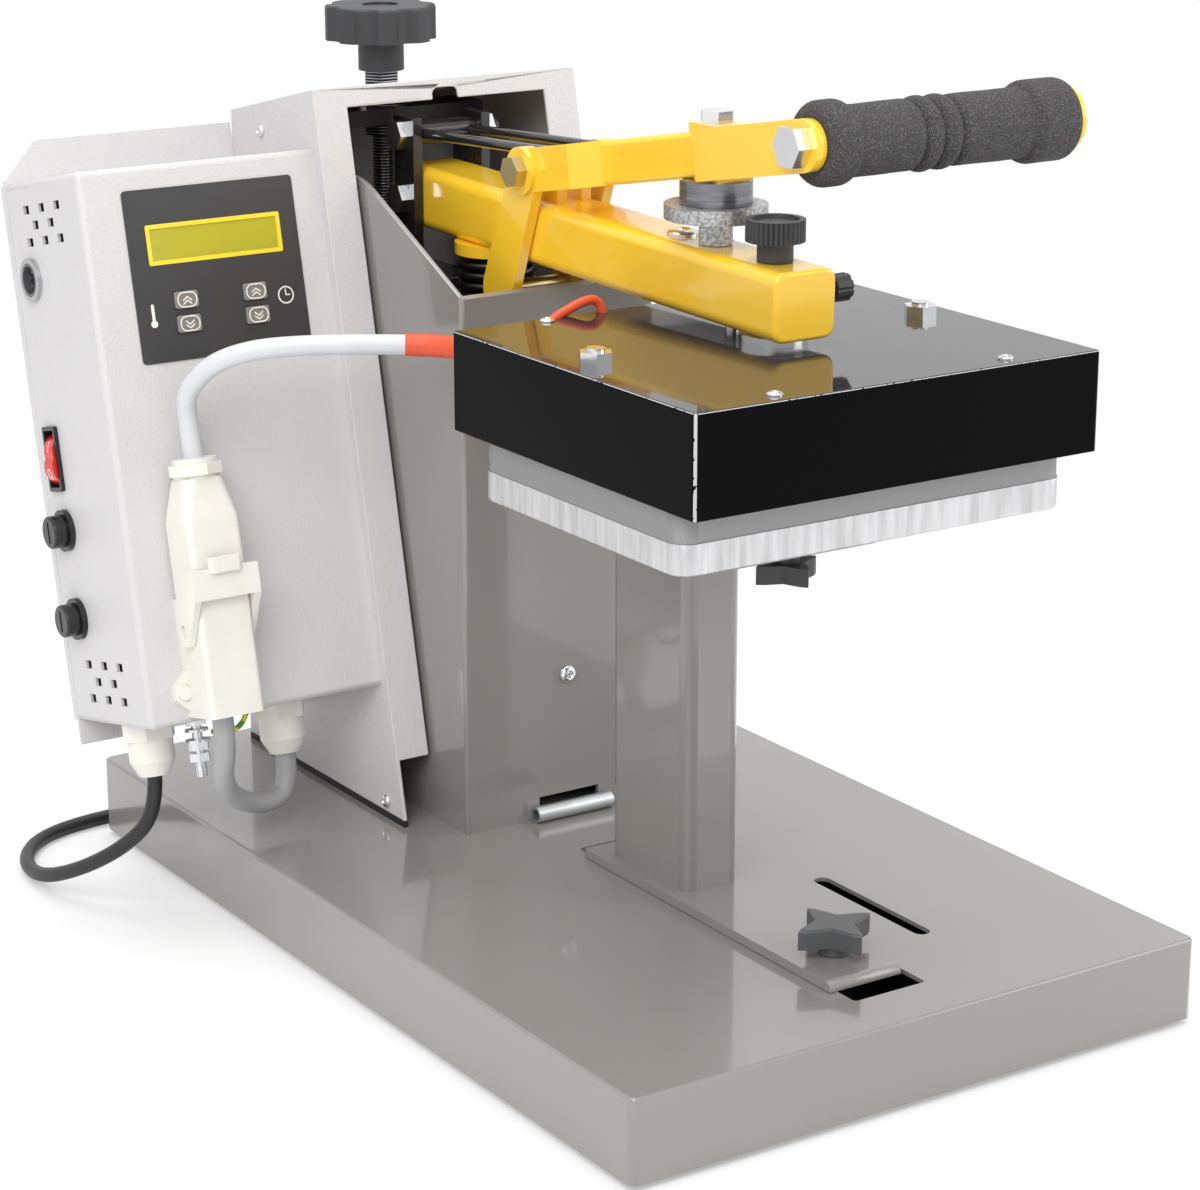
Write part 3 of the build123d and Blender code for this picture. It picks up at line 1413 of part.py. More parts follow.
with BuildPart() as pedestal:
    with BuildSketch(level(foot_top)):
        with Locations((0, (pedestal_front + pedestal_rear) / 2)):
            RectangleRounded(2 * pedestal_half, pedestal_rear - pedestal_front, 6)
            RectangleRounded(2 * (pedestal_half - pedestal_wall),
                             pedestal_rear - pedestal_front - 2 * pedestal_wall, 3.5,
                             mode=Mode.SUBTRACT)
    extrude(amount=pedestal_top - foot_top)
    with BuildSketch(level(pedestal_top)):
        with Locations((0, (bracket_front + pedestal_rear) / 2)):
            RectangleRounded(2 * bracket_half, pedestal_rear - bracket_front, 4)
        with Locations((0, platen_knob_y)):
            Circle(knob_stud + pin_gap, mode=Mode.SUBTRACT)
    extrude(amount=bracket_thick)
pedestal.part.label = "pedestal"
export_step(pedestal.part, "parts/pedestal.step")


with BuildPart() as lower_platen:
    with BuildSketch(level(bracket_top)):
        with Locations((0, (platen_front + platen_rear) / 2)):
            RectangleRounded(2 * platen_half, platen_rear - platen_front, 8)
    extrude(amount=platen_thick)
    with BuildSketch(level(bracket_top, 0, platen_knob_y)):
        Circle(knob_stud + pin_gap)
    extrude(amount=platen_thick - 2, mode=Mode.SUBTRACT)
lower_platen.part.label = "lower_platen"
export_step(lower_platen.part, "parts/lower_platen.step")

with BuildPart() as silicone_pad:
    with BuildSketch(level(platen_top)):
        with Locations((0, (platen_front + platen_rear) / 2)):
            RectangleRounded(2 * platen_half, platen_rear - platen_front, 8)
    extrude(amount=pad_top - platen_top)
silicone_pad.part.label = "silicone_pad"
export_step(silicone_pad.part, "parts/silicone_pad.step")


def star(radius, hub):
    """A four-lobed star in the current sketch, its lobes drawn in to blunt points."""
    Circle(hub)
    with PolarLocations(0, 4):
        Polygon((hub * 0.3, -hub * 0.92), (radius - 3, -2.4), (radius, 0), (radius - 3, 2.4),
                (hub * 0.3, hub * 0.92), align=None)


with BuildPart() as slide_knob:
    with BuildSketch(level(foot_top + seat_gap, 0, slide_knob_y)):
        Circle(7.0)
    extrude(amount=5)
    with BuildSketch(level(foot_top + seat_gap + 5, 0, slide_knob_y)):
        star(slide_knob_radius, 8.5)
    extrude(amount=9)
    fillet(slide_knob.edges().group_by(Axis.Z)[-1], 1.2)
    with BuildSketch(level(foot_top + seat_gap, 0, slide_knob_y)):
        Circle(knob_stud)
    extrude(amount=-(foot_top - guide_foot + keeper_thick))
slide_knob.part.label = "slide_knob"
export_step(slide_knob.part, "parts/slide_knob.step")

with BuildPart() as platen_knob:
    with BuildSketch(level(pedestal_top - seat_gap, 0, platen_knob_y)):
        Circle(6.0)
    extrude(amount=-3)
    with BuildSketch(level(pedestal_top - seat_gap - 3, 0, platen_knob_y)):
        star(platen_knob_radius, 7.5)
    extrude(amount=-8)
    with BuildSketch(level(pedestal_top - seat_gap, 0, platen_knob_y)):
        Circle(knob_stud)
    extrude(amount=bracket_thick + 4)
platen_knob.part.label = "platen_knob"
export_step(platen_knob.part, "parts/platen_knob.step")

# Heater cable: white from the connector, then in a red silicone sleeve to the cover
cable_start = box_point(connector_x, nut_top_u, 13.5)
sleeve_start = (-84.0, 41.0, 284.5)
cable_rise = box_point(connector_x, nut_top_u + 14, 13.5)
heater_points = [tuple(cable_start), tuple(cable_rise), (-166.0, 100.0, 262.0),
                 (-155.0, 84.0, 280.0), (-126.0, 64.0, 286.0), sleeve_start]
last_step = Vector(*sleeve_start) - Vector(*heater_points[-2])
sleeve_bend = Vector(*sleeve_start) + last_step * 0.32
sleeve_points = [sleeve_start, tuple(sleeve_bend), (-61.5, -1.5, 286.0),
                 (cable_hole_x, cover_rear - 3.4, cable_hole_z)]
with BuildPart() as heater_cable:
    add(tube("heater_cable", heater_points, heater_diameter))
heater_cable.part.label = "heater_cable"
export_step(heater_cable.part, "parts/heater_cable.step")

with BuildPart() as heater_sleeve:
    add(tube("heater_sleeve", sleeve_points, sleeve_diameter))
heater_sleeve.part.label = "heater_sleeve"
export_step(heater_sleeve.part, "parts/heater_sleeve.step")

# Wiring under the box
harness_end = box_point(harness_gland_x, -gland_drop, -harness_gland_v)
grey_start = box_point(connector_x - 3, housing_foot, 14)
grey_drop = box_point(connector_x - 3, housing_foot - 15, 14)
harness_drop = box_point(harness_gland_x, -gland_drop - 15, -harness_gland_v)
grey_points = [tuple(grey_start), tuple(grey_drop), (-162.0, 84.0, 77.0),
               (-146.0, 97.0, 60.0), (-125.0, 103.0, 54.0), tuple(harness_drop),
               tuple(harness_end)]
with BuildPart() as grey_cable:
    add(tube("grey_cable", grey_points, grey_diameter))
grey_cable.part.label = "grey_cable"
export_step(grey_cable.part, "parts/grey_cable.step")

earth_start = box_point(stud_x + 8, -10, -stud_v)
earth_end = box_point(-131.0, -0.6, -stud_v)
earth_points = [tuple(earth_start), (-145.0, 113.0, 90.0), (-134.0, 113.5, 92.0), tuple(earth_end)]
with BuildPart() as earth_wire:
    add(tube("earth_wire", earth_points, earth_diameter))
earth_wire.part.label = "earth_wire"
export_step(earth_wire.part, "parts/earth_wire.step")

# Mains cord: down from its gland, round the base's rear corner and into a coil
bench_height = mains_diameter / 2 + 0.1
mains_start = box_point(mains_gland_x, -gland_drop, -mains_gland_v)
coil_front = coil_y - coil_radius
mains_end = (coil_x - 62.0, coil_front, bench_height)
mains_points = [tuple(mains_start), (-180.0, 117.5, 55.0), (-191.0, 131.0, 36.0),
                (-204.0, 158.0, 18.0), (-211.0, 190.0, 5.5), (-205.0, 222.0, bench_height),
                (-184.0, 246.0, bench_height), (-146.0, 254.5, bench_height),
                (-98.0, coil_front, bench_height), mains_end]
with BuildPart() as mains_cord:
    add(tube("mains_cord", mains_points, mains_diameter))
mains_cord.part.label = "mains_cord"
export_step(mains_cord.part, "parts/mains_cord.step")

# The put-away coil: it spirals in, climbs one layer in a half turn and spirals out
inner_steps = 6
outer_steps = 3
plug_lead = 56.0
radii = [coil_radius - coil_pitch / 2 * step for step in range(inner_steps)]
radii += [radii[-1] - coil_pitch / 2]
radii += [radii[-1] + coil_pitch / 2 * (step + 1) for step in range(outer_steps)]
with BuildPart() as mains_coil:
    with BuildLine() as coil_path:
        height = bench_height
        side = -1
        here = Vector(coil_x, coil_front, height)
        heading = Vector(1, 0, 0)
        Line(mains_end, here)
        for step, radius in enumerate(radii):
            rise = coil_layer if step == inner_steps else 0
            climb = atan(rise / (2 * radius))
            centre = here + Vector(0, -side * radius, 0)
            middle = centre + Vector(heading.X * radius / cos(climb), 0, rise / 2)
            far = centre + Vector(0, -side * radius, rise)
            swing = Vector(0, -side * cos(climb), sin(climb))
            TangentArc(here, middle, tangent=heading)
            TangentArc(middle, far, tangent=swing)
            here = far
            heading = -heading
            side = -side
        plug_face = here + heading * plug_lead
        Line(here, plug_face)
    with BuildSketch(Plane(origin=mains_end, z_dir=(1, 0, 0))):
        Circle(mains_diameter / 2)
    sweep(path=coil_path.wires()[0])
print("mains coil length", round(coil_path.wires()[0].length), "least gap",
      round(least_gap(coil_path.wires()[0], mains_diameter), 2))
mains_coil.part.label = "mains_coil"
export_step(mains_coil.part, "parts/mains_coil.step")

plug_plane = Plane(origin=plug_face, x_dir=(0, 1, 0), z_dir=heading)
with BuildPart() as mains_plug:
    with BuildSketch(plug_plane):
        Circle(6.5)
    extrude(amount=10)
    with BuildSketch(plug_plane.offset(10)):
        RectangleRounded(15, 13, 5)
    with BuildSketch(plug_plane.offset(18)):
        RectangleRounded(27, 22, 7)
    loft(ruled=True)
    with BuildSketch(plug_plane.offset(18)):
        RectangleRounded(27, 22, 7)
    extrude(amount=26)
    with BuildSketch(plug_plane.offset(44)):
        with Locations((-9.5, 0), (9.5, 0)):
            Circle(2.4)
    extrude(amount=19)
mains_plug.part.label = "mains_plug"
export_step(mains_plug.part, "parts/mains_plug.step")
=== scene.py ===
import json
import math
import bpy
import bmesh
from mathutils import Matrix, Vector, noise
from mathutils.bvhtree import BVHTree


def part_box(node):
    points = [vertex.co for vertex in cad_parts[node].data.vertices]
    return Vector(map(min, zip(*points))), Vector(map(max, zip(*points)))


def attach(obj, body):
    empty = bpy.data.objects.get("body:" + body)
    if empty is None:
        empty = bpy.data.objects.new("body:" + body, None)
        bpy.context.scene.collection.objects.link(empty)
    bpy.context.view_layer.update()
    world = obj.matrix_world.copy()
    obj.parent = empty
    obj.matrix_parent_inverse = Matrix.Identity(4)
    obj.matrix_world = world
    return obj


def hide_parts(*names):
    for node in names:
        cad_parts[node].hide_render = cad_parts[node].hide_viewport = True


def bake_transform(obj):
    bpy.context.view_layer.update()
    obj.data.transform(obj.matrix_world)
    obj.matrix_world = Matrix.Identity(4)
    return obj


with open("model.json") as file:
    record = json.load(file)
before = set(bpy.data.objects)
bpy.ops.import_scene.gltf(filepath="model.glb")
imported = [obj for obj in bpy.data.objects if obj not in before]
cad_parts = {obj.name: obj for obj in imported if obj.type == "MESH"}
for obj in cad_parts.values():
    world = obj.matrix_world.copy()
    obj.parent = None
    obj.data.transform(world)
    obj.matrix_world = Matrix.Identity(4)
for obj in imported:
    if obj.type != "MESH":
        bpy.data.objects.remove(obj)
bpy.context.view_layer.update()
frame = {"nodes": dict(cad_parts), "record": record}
nodes = frame["nodes"]
print("frame loaded:", len(nodes), "nodes")

mm = 0.001

# The control box leans back: across is X, u runs up its front and out stands off it
box = {"lean": math.radians(12.5), "frontY": 87.8, "frontZ": 107.9}
alongU = Vector((0, math.sin(box["lean"]), math.cos(box["lean"])))
alongV = Vector((0, math.cos(box["lean"]), -math.sin(box["lean"])))


def boxPoint(x, u, out):
    return Vector((x, box["frontY"], box["frontZ"])) + alongU * u - alongV * out


# Shader building: a socket that does sums, and one way to make any other node

class Value:
    def __init__(self, tree, socket):
        self.tree = tree
        self.socket = socket

    def sum(self, operation, first, second):
        node = self.tree.nodes.new("ShaderNodeMath")
        node.operation = operation
        for slot, part in zip(node.inputs, (first, second)):
            if isinstance(part, Value):
                self.tree.links.new(part.socket, slot)
            else:
                slot.default_value = part
        return Value(self.tree, node.outputs[0])

    def __add__(self, other):
        return self.sum("ADD", self, other)

    def __radd__(self, other):
        return self.sum("ADD", other, self)

    def __sub__(self, other):
        return self.sum("SUBTRACT", self, other)

    def __rsub__(self, other):
        return self.sum("SUBTRACT", other, self)

    def __mul__(self, other):
        return self.sum("MULTIPLY", self, other)

    def __rmul__(self, other):
        return self.sum("MULTIPLY", other, self)

    def __gt__(self, other):
        return self.sum("GREATER_THAN", self, other)

    def __lt__(self, other):
        return self.sum("LESS_THAN", self, other)


class Finish:
    def __init__(self, name, colour, roughness, metallic=0.0, coat=0.0, coatRoughness=0.1, specular=0.5):
        self.material = bpy.data.materials.new(name)
        self.material.use_nodes = True
        self.tree = self.material.node_tree
        self.shader = self.tree.nodes["Principled BSDF"]
        self.shader.inputs["Base Color"].default_value = (*colour, 1)
        self.shader.inputs["Roughness"].default_value = roughness
        self.shader.inputs["Metallic"].default_value = metallic
        self.shader.inputs["Coat Weight"].default_value = coat
        self.shader.inputs["Coat Roughness"].default_value = coatRoughness
        self.shader.inputs["Specular IOR Level"].default_value = specular
        self.place = self.node("ShaderNodeTexCoord", output="Object")

    def node(self, kind, settings=None, output=0, **values):
        made = self.tree.nodes.new(kind)
        for key, setting in (settings or {}).items():
            if key == "stops":
                ramp = made.color_ramp.elements
                while len(ramp) < len(setting):
                    ramp.new(0.5)
                for stop, (position, tint) in zip(ramp, setting):
                    stop.position = position
                    stop.color = tint
            else:
                setattr(made, key, setting)
        for key, value in values.items():
            slot = made.inputs[int(key[1:])] if key[0] == "i" and key[1:].isdigit() else made.inputs[key]
            if isinstance(value, Value):
                self.tree.links.new(value.socket, slot)
            else:
                slot.default_value = value
        return Value(self.tree, made.outputs[output])

    def noise(self, scale, detail=2.0, stretch=None):
        place = self.place
        if stretch:
            place = self.node("ShaderNodeMapping", Vector=place, Scale=stretch)
        return self.node("ShaderNodeTexNoise", Vector=place, Scale=scale, Detail=detail)

    def along(self, direction):
        return self.node("ShaderNodeVectorMath", {"operation": "DOT_PRODUCT"}, "Value",
                         i0=self.place, i1=tuple(direction))

    def set(self, socket, value):
        self.tree.links.new(value.socket, self.shader.inputs[socket])
        return self

    def tint(self, mask, light, dark):
        mixed = self.node("ShaderNodeMix", {"data_type": "RGBA"}, 2, i0=mask, i6=(*dark, 1), i7=(*light, 1))
        return self.set("Base Color", mixed)

    def bump(self, height, strength, distance):
        return self.set("Normal", self.node("ShaderNodeBump", Height=height, Strength=strength,
                                            Distance=distance))


def shade(colour, factor):
    return tuple(min(1.0, c * factor) for c in colour)


# Painted, plated and moulded finishes. Scales are per metre, distances in metres.

def paint(name, colour, roughness, peelScale, peel, coat=0.0, mottle=0.05, specular=0.5):
    finish = Finish(name, colour, roughness, coat=coat, coatRoughness=0.06, specular=specular)
    cloud = finish.noise(26, 3)
    grain = finish.noise(peelScale, 2)
    finish.tint(cloud, shade(colour, 1 + mottle), shade(colour, 1 - mottle))
    finish.set("Roughness", roughness - 0.05 + grain * 0.1)
    return finish.bump(grain, peel, 0.0004).material


def plated(name, colour, roughness, streak=(1, 1, 1)):
    finish = Finish(name, colour, roughness, metallic=1.0)
    patches = finish.noise(90, 4)
    scratches = finish.noise(700, 3, streak)
    finish.tint(patches, shade(colour, 1.08), shade(colour, 0.84))
    finish.set("Roughness", roughness - 0.04 + scratches * 0.08)
    return finish.bump(scratches, 0.05, 0.0001).material


def coverPaint():
    # glossy black: the lid has a lighter, bluish base colour as a painted reflection of what stands above
    # it, and the folded edges carry a painted highlight line, broken up by noise
    look = {"paint": (0.002, 0.002, 0.0024, 1), "lid": (0.030, 0.028, 0.034, 1),
            "corner": (0.50, 0.50, 0.51, 1), "width": 0.5 * mm, "seam": 1.3 * mm, "roughness": 0.08,
            "edgeHighlightRoughness": 0.3, "edgeHighlightNoiseScale": 420, "edgeHighlightCut": 0.38, "lidCoat": 0.62}
    low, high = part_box("platen_cover")
    finish = Finish("gloss_black", look["paint"][:3], look["roughness"], coatRoughness=0.03, specular=0.04)
    x, y, z = (finish.along(axis) for axis in ((1, 0, 0), (0, 1, 0), (0, 0, 1)))
    side = (x < low.x + look["width"]) + (x > high.x - look["width"])
    front = y < low.y + look["width"]
    lid = z > high.z - look["width"]
    seam = ((x < low.x + look["seam"]) + (x > high.x - look["seam"])) * (y < low.y + look["seam"])
    folded = side * lid + front * lid + seam > 0.5
    # painted highlight: light grey on the folded edges where the noise is high
    paintedEdgeHighlight = folded * (finish.noise(look["edgeHighlightNoiseScale"], 3) > look["edgeHighlightCut"])
    # painted reflection: the lid's base colour is lighter and bluer than the sides
    faces = finish.node("ShaderNodeMix", {"data_type": "RGBA"}, 2, i0=lid, i6=look["paint"], i7=look["lid"])
    finish.set("Base Color", finish.node("ShaderNodeMix", {"data_type": "RGBA"}, 2, i0=paintedEdgeHighlight, i6=faces,
                                         i7=look["corner"]))
    finish.set("Roughness", look["roughness"] + paintedEdgeHighlight * look["edgeHighlightRoughness"])
    return finish.set("Coat Weight", lid * look["lidCoat"]).material


def magnetSteel():
    # a turned steel can under the lever, with a plated bolt above
    look = {"can": (0.11, 0.11, 0.115), "bolt": (0.80, 0.81, 0.83), "boltZ": 386.0 * mm}
    finish = Finish("magnet_steel", look["can"], 0.26, metallic=1.0)
    rings = finish.noise(1500, 2, (0.06, 0.06, 1))
    bolt = finish.along((0, 0, 1)) > look["boltZ"]
    finish.tint(rings * 0.3 + bolt, look["bolt"], look["can"])
    return finish.set("Roughness", 0.2 + rings * 0.12).material


def castSteel():
    look = {"light": (0.62, 0.62, 0.63), "dark": (0.30, 0.30, 0.305)}
    finish = Finish("cast_steel", look["light"], 0.45, metallic=0.9)
    sand = finish.noise(620, 4)
    finish.tint((sand - 0.38) * 3.6, look["light"], look["dark"])
    return finish.bump(sand, 0.6, 0.0005).material


def threadedRod():
    look = {"crest": (0.60, 0.60, 0.62), "paintedRootShade": (0.03, 0.03, 0.03), "pitch": 1.5 * mm}
    finish = Finish("threaded_rod", look["crest"], 0.28, metallic=1.0)
    turns = finish.along((0, 0, 1)) * (2 * math.pi / look["pitch"])
    crest = finish.node("ShaderNodeMath", {"operation": "SINE"}, i0=turns) * 0.5 + 0.5
    # painted shade: the thread roots are coloured near black, and the crests keep the plated colour
    finish.tint(crest, look["crest"], look["paintedRootShade"])
    return finish.bump(crest, 0.8, 0.0006).material


def moulded(name, colour, roughness, grainScale=1600, grain=0.08):
    finish = Finish(name, colour, roughness)
    pebble = finish.noise(grainScale, 2)
    finish.tint(finish.noise(60, 2), shade(colour, 1.08), shade(colour, 0.92))
    finish.set("Roughness", roughness - 0.05 + pebble * 0.12)
    return finish.bump(pebble, grain, 0.0003).material


def foamRubber():
    look = {"base": (0.043, 0.041, 0.041), "fleck": (0.148, 0.143, 0.142)}
    finish = Finish("foam", look["base"], 0.92)
    cells = finish.node("ShaderNodeTexVoronoi", Vector=finish.place, Scale=1150)
    flecks = finish.noise(1500, 3)
    finish.tint((flecks - 0.5) * 5.0, look["fleck"], look["base"])
    return finish.bump(cells + flecks * 0.6, 0.55, 0.0006).material


def castPlate():
    look = {"cast": (0.33, 0.33, 0.335), "milled": (0.66, 0.66, 0.67), "stepZ": 249.1 * mm}
    finish = Finish("plate_aluminium", look["cast"], 0.5, metallic=0.9)
    milled = finish.along((0, 0, 1)) < look["stepZ"]
    sand = finish.noise(1300, 4)
    cutter = finish.noise(260, 3, (1, 1, 0.12))
    finish.tint(milled * (0.1 + cutter * 1.35), look["milled"], look["cast"])
    finish.set("Roughness", 0.62 - milled * 0.26 + sand * 0.1)
    return finish.bump(sand * (1 - milled) + cutter * milled * 0.4, 0.4, 0.0005).material


def displayFace():
    look = {"frame": (0.84, 0.68, 0.04), "glass": (0.46, 0.42, 0.03), "edge": 2.0 * mm,
            "left": -165.0 * mm, "right": -96.0 * mm, "foot": 211.0 * mm, "top": 229.6 * mm}
    finish = Finish("display", look["frame"], 0.25, coat=0.5)
    across = finish.along((1, 0, 0))
    low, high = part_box("display_window")
    middle = (low + high) / 2
    up = finish.along(alongU) - alongU.dot(middle)
    halfTall = (look["top"] - look["foot"]) / 2 - look["edge"]
    inside = ((across > look["left"] + look["edge"]) * (across < look["right"] - look["edge"])
              * (up > -halfTall) * (up < halfTall))
    finish.tint(inside, look["glass"], look["frame"])
    return finish.set("Roughness", 0.3 - inside * 0.18).material


def grippedEnd():
    # the yellow core tube, with a plated bolt head off the lever's blade and a nut at the far end
    look = {"paint": (0.98, 0.60, 0.02), "plate": (0.74, 0.75, 0.77),
            "headX": -15.2 * mm, "nutX": 126.4 * mm}
    finish = Finish("yellow_paint_bolt", look["paint"], 0.24, coat=0.4)
    across = finish.along((1, 0, 0))
    bolt = (across < look["headX"]) + (across > look["nutX"])
    finish.tint(bolt, look["plate"], look["paint"])
    return finish.set("Metallic", bolt * 1.0).material


def socketFace():
    # a plated ring round a dark insert, told apart by the distance from its middle
    look = {"ring": (0.50, 0.50, 0.52), "insert": (0.09, 0.09, 0.095), "radius": 8.0 * mm}
    low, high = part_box("panel_socket")
    middle = (low + high) / 2
    finish = Finish("socket_metal", look["ring"], 0.24)
    offset = finish.node("ShaderNodeVectorMath", {"operation": "SUBTRACT"}, i0=finish.place,
                         i1=tuple(middle))
    flat = finish.node("ShaderNodeVectorMath", {"operation": "MULTIPLY"}, i0=offset, i1=(0, 1, 1))
    reach = finish.node("ShaderNodeVectorMath", {"operation": "LENGTH"}, "Value", i0=flat)
    ring = reach > look["radius"]
    finish.tint(ring, look["ring"], look["insert"])
    return finish.set("Metallic", ring * 1.0).material


def earthSheath():
    look = {"green": (0.10, 0.36, 0.05), "yellow": (0.85, 0.72, 0.05)}
    finish = Finish("earth_green", look["green"], 0.4)
    wave = finish.node("ShaderNodeTexWave", {"bands_direction": "DIAGONAL"}, Vector=finish.place,
                       Scale=55, Distortion=0.3)
    return finish.tint((wave - 0.55) * 14.0, look["yellow"], look["green"]).material


materials = {
    "base_paint": paint("base_paint", (0.255, 0.243, 0.230), 0.20, 420, 0.03, coat=0.8, mottle=0.03),
    "hood_paint": paint("hood_paint", (0.62, 0.61, 0.61), 0.40, 620, 0.75, mottle=0.02),
    "yellow_paint": paint("yellow_paint", (1.0, 0.61, 0.03), 0.20, 300, 0.06, coat=0.6, mottle=0.02),
    "gloss_black": coverPaint(),
    "black_steel": paint("black_steel", (0.014, 0.013, 0.013), 0.22, 300, 0.06, coat=0.5, mottle=0.1),
    "dark_steel": paint("dark_steel", (0.03, 0.03, 0.031), 0.35, 420, 0.08, mottle=0.1),
    "spring_steel": plated("spring_steel", (0.09, 0.085, 0.08), 0.34),
    "galvanised": plated("galvanised", (0.62, 0.64, 0.65), 0.42, (1, 1, 0.3)),
    "zinc": plated("zinc", (0.74, 0.75, 0.77), 0.24),
    "yellow_zinc": plated("yellow_zinc", (0.60, 0.50, 0.26), 0.30),
    "socket_metal": socketFace(),
    "foot_rubber": moulded("foot_rubber", (0.02, 0.02, 0.02), 0.75),
    "black_trim": moulded("black_trim", (0.012, 0.012, 0.012), 0.6),
    "dark_overlay": moulded("dark_overlay", (0.040, 0.040, 0.043), 0.36, 2400, 0.03),
    "display": displayFace(),
    "black_gloss": moulded("black_gloss", (0.012, 0.012, 0.013), 0.24, 900, 0.03),
    "black_plastic": moulded("black_plastic", (0.035, 0.036, 0.039), 0.50),
    "grey_knob": moulded("grey_knob", (0.075, 0.077, 0.080), 0.36),
    "red_plastic": moulded("red_plastic", (0.66, 0.02, 0.015), 0.22, 900, 0.03),
    "button_plastic": moulded("button_plastic", (0.23, 0.21, 0.19), 0.42),
    "cream_plastic": moulded("cream_plastic", (0.80, 0.78, 0.72), 0.38, 900, 0.05),
    "earth_green": earthSheath(),
    "foam": foamRubber(),
    "plate_aluminium": castPlate(),
    "silicone": moulded("silicone", (0.60, 0.20, 0.10), 0.6),
    "white_cable": moulded("white_cable", (0.63, 0.645, 0.67), 0.42, 500, 0.06),
    "red_silicone": moulded("red_silicone", (0.72, 0.09, 0.03), 0.45, 500, 0.10),
    "grey_cable": moulded("grey_cable", (0.36, 0.36, 0.37), 0.45, 500, 0.06),
    "black_cord": moulded("black_cord", (0.012, 0.012, 0.013), 0.42, 500, 0.06),
}
for part in frame["record"]["subparts"]:
    mesh = nodes[part["node"]].data
    mesh.materials.clear()
    mesh.materials.append(materials[part["material_slot"]])
ownFinish = {"grip_tube": grippedEnd(), "electromagnet": magnetSteel(), "armature_disc": castSteel(),
             "pressure_spindle": threadedRod()}
for name, material in ownFinish.items():
    nodes[name].data.materials[0] = material
print("finishes on every CAD node:", len(materials))


# Folded, sawn and moulded edges are rounded a little, so that they catch the light
edgeRounds = {"base_tray": 1.5, "column": 0.9, "hood": 0.7, "box_cover": 0.6, "box_back_plate": 0.5,
              "platen_cover": 0.5, "heating_plate": 0.6, "pedestal": 0.6, "slide_foot": 0.6,
              "ladder_plates": 0.4, "handle_lever": 0.5, "lower_platen": 0.5}
edgeLook = {"weld": 0.00002, "segments": 2, "fromAngle": math.radians(40)}
for name, width in edgeRounds.items():
    weld = nodes[name].modifiers.new("weld", "WELD")
    weld.merge_threshold = edgeLook["weld"]
    rounding = nodes[name].modifiers.new("edges", "BEVEL")
    rounding.width = width * mm
    rounding.segments = edgeLook["segments"]
    rounding.limit_method = "ANGLE"
    rounding.angle_limit = edgeLook["fromAngle"]
    rounding.harden_normals = True
print("rounded edges:", len(edgeRounds))


sharpFrom = math.radians(38)


def piece(name, maker, slot, body=None):
    mesh = bpy.data.meshes.new(name)
    shape = bmesh.new()
    maker(shape)
    bmesh.ops.recalc_face_normals(shape, faces=shape.faces)
    shape.to_mesh(mesh)
    shape.free()
    made = bpy.data.objects.new(name, mesh)
    bpy.context.scene.collection.objects.link(made)
    mesh.materials.append(materials[slot])
    mesh.shade_smooth()
    mesh.set_sharp_from_angle(angle=sharpFrom)
    if body:
        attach(made, body)
    return made


def joinRings(shape, rings):
    for lower, upper in zip(rings, rings[1:]):
        for index in range(len(lower)):
            following = (index + 1) % len(lower)
            shape.faces.new((lower[index], lower[following], upper[following], upper[index]))
    shape.faces.new(rings[0])
    shape.faces.new(rings[-1])


# Foam grip: flared ends, two smooth barrels and two soft ribs, each a run of (start, end, radius, rounding)

foam = {"y": -159.6, "z": 394.7, "core": 12.9, "step": 0.8, "sides": 40, "wobble": 0.22,
        "dentScale": 1.6, "dentDrift": 0.07,
        "runs": ((-9.2, 7.6, 18.0, 5.5), (4.0, 40.6, 15.2, 2.6), (41.0, 50.6, 16.1, 4.8),
                 (50.8, 60.4, 16.1, 4.8), (60.8, 102.0, 15.3, 3.0), (98.4, 124.0, 18.0, 5.5))}


def foamRadius(x):
    radius = foam["core"]
    for start, end, full, rounding in foam["runs"]:
        inward = min(x - start, end - x)
        if inward >= rounding:
            radius = max(radius, full)
        elif inward >= 0:
            radius = max(radius, full - rounding + math.sqrt(rounding ** 2 - (rounding - inward) ** 2))
    return radius


def foamGrip(shape):
    left, right = foam["runs"][0][0], foam["runs"][-1][1]
    count = round((right - left) / foam["step"])
    rings = []
    for step in range(count + 1):
        x = left + (right - left) * step / count
        centre = Vector((x, foam["y"], foam["z"]))
        drift = Vector((x * foam["dentDrift"], 0, 0))
        ring = []
        for index in range(foam["sides"]):
            turn = 2 * math.pi * index / foam["sides"]
            outward = Vector((0, math.cos(turn), math.sin(turn)))
            dent = noise.noise(outward * foam["dentScale"] + drift)
            radius = foamRadius(x) - foam["wobble"] * (1 + dent)
            ring.append(shape.verts.new((centre + outward * radius) * mm))
        rings.append(ring)
    joinRings(shape, rings)


grip = piece("foamGrip", foamGrip, "foam", "lever")
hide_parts("foam_grip")


# Silicone pad on the lower platen: soft sides that bulge a little, and rounded corners

padLow, padHigh = (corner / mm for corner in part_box("silicone_pad"))
pad = {"corner": 8.0, "perCorner": 6,
       "insets": ((0.0, 1.3), (0.12, 0.5), (0.3, 0.12), (0.5, 0.0), (0.7, 0.12), (0.88, 0.5), (1.0, 1.3))}


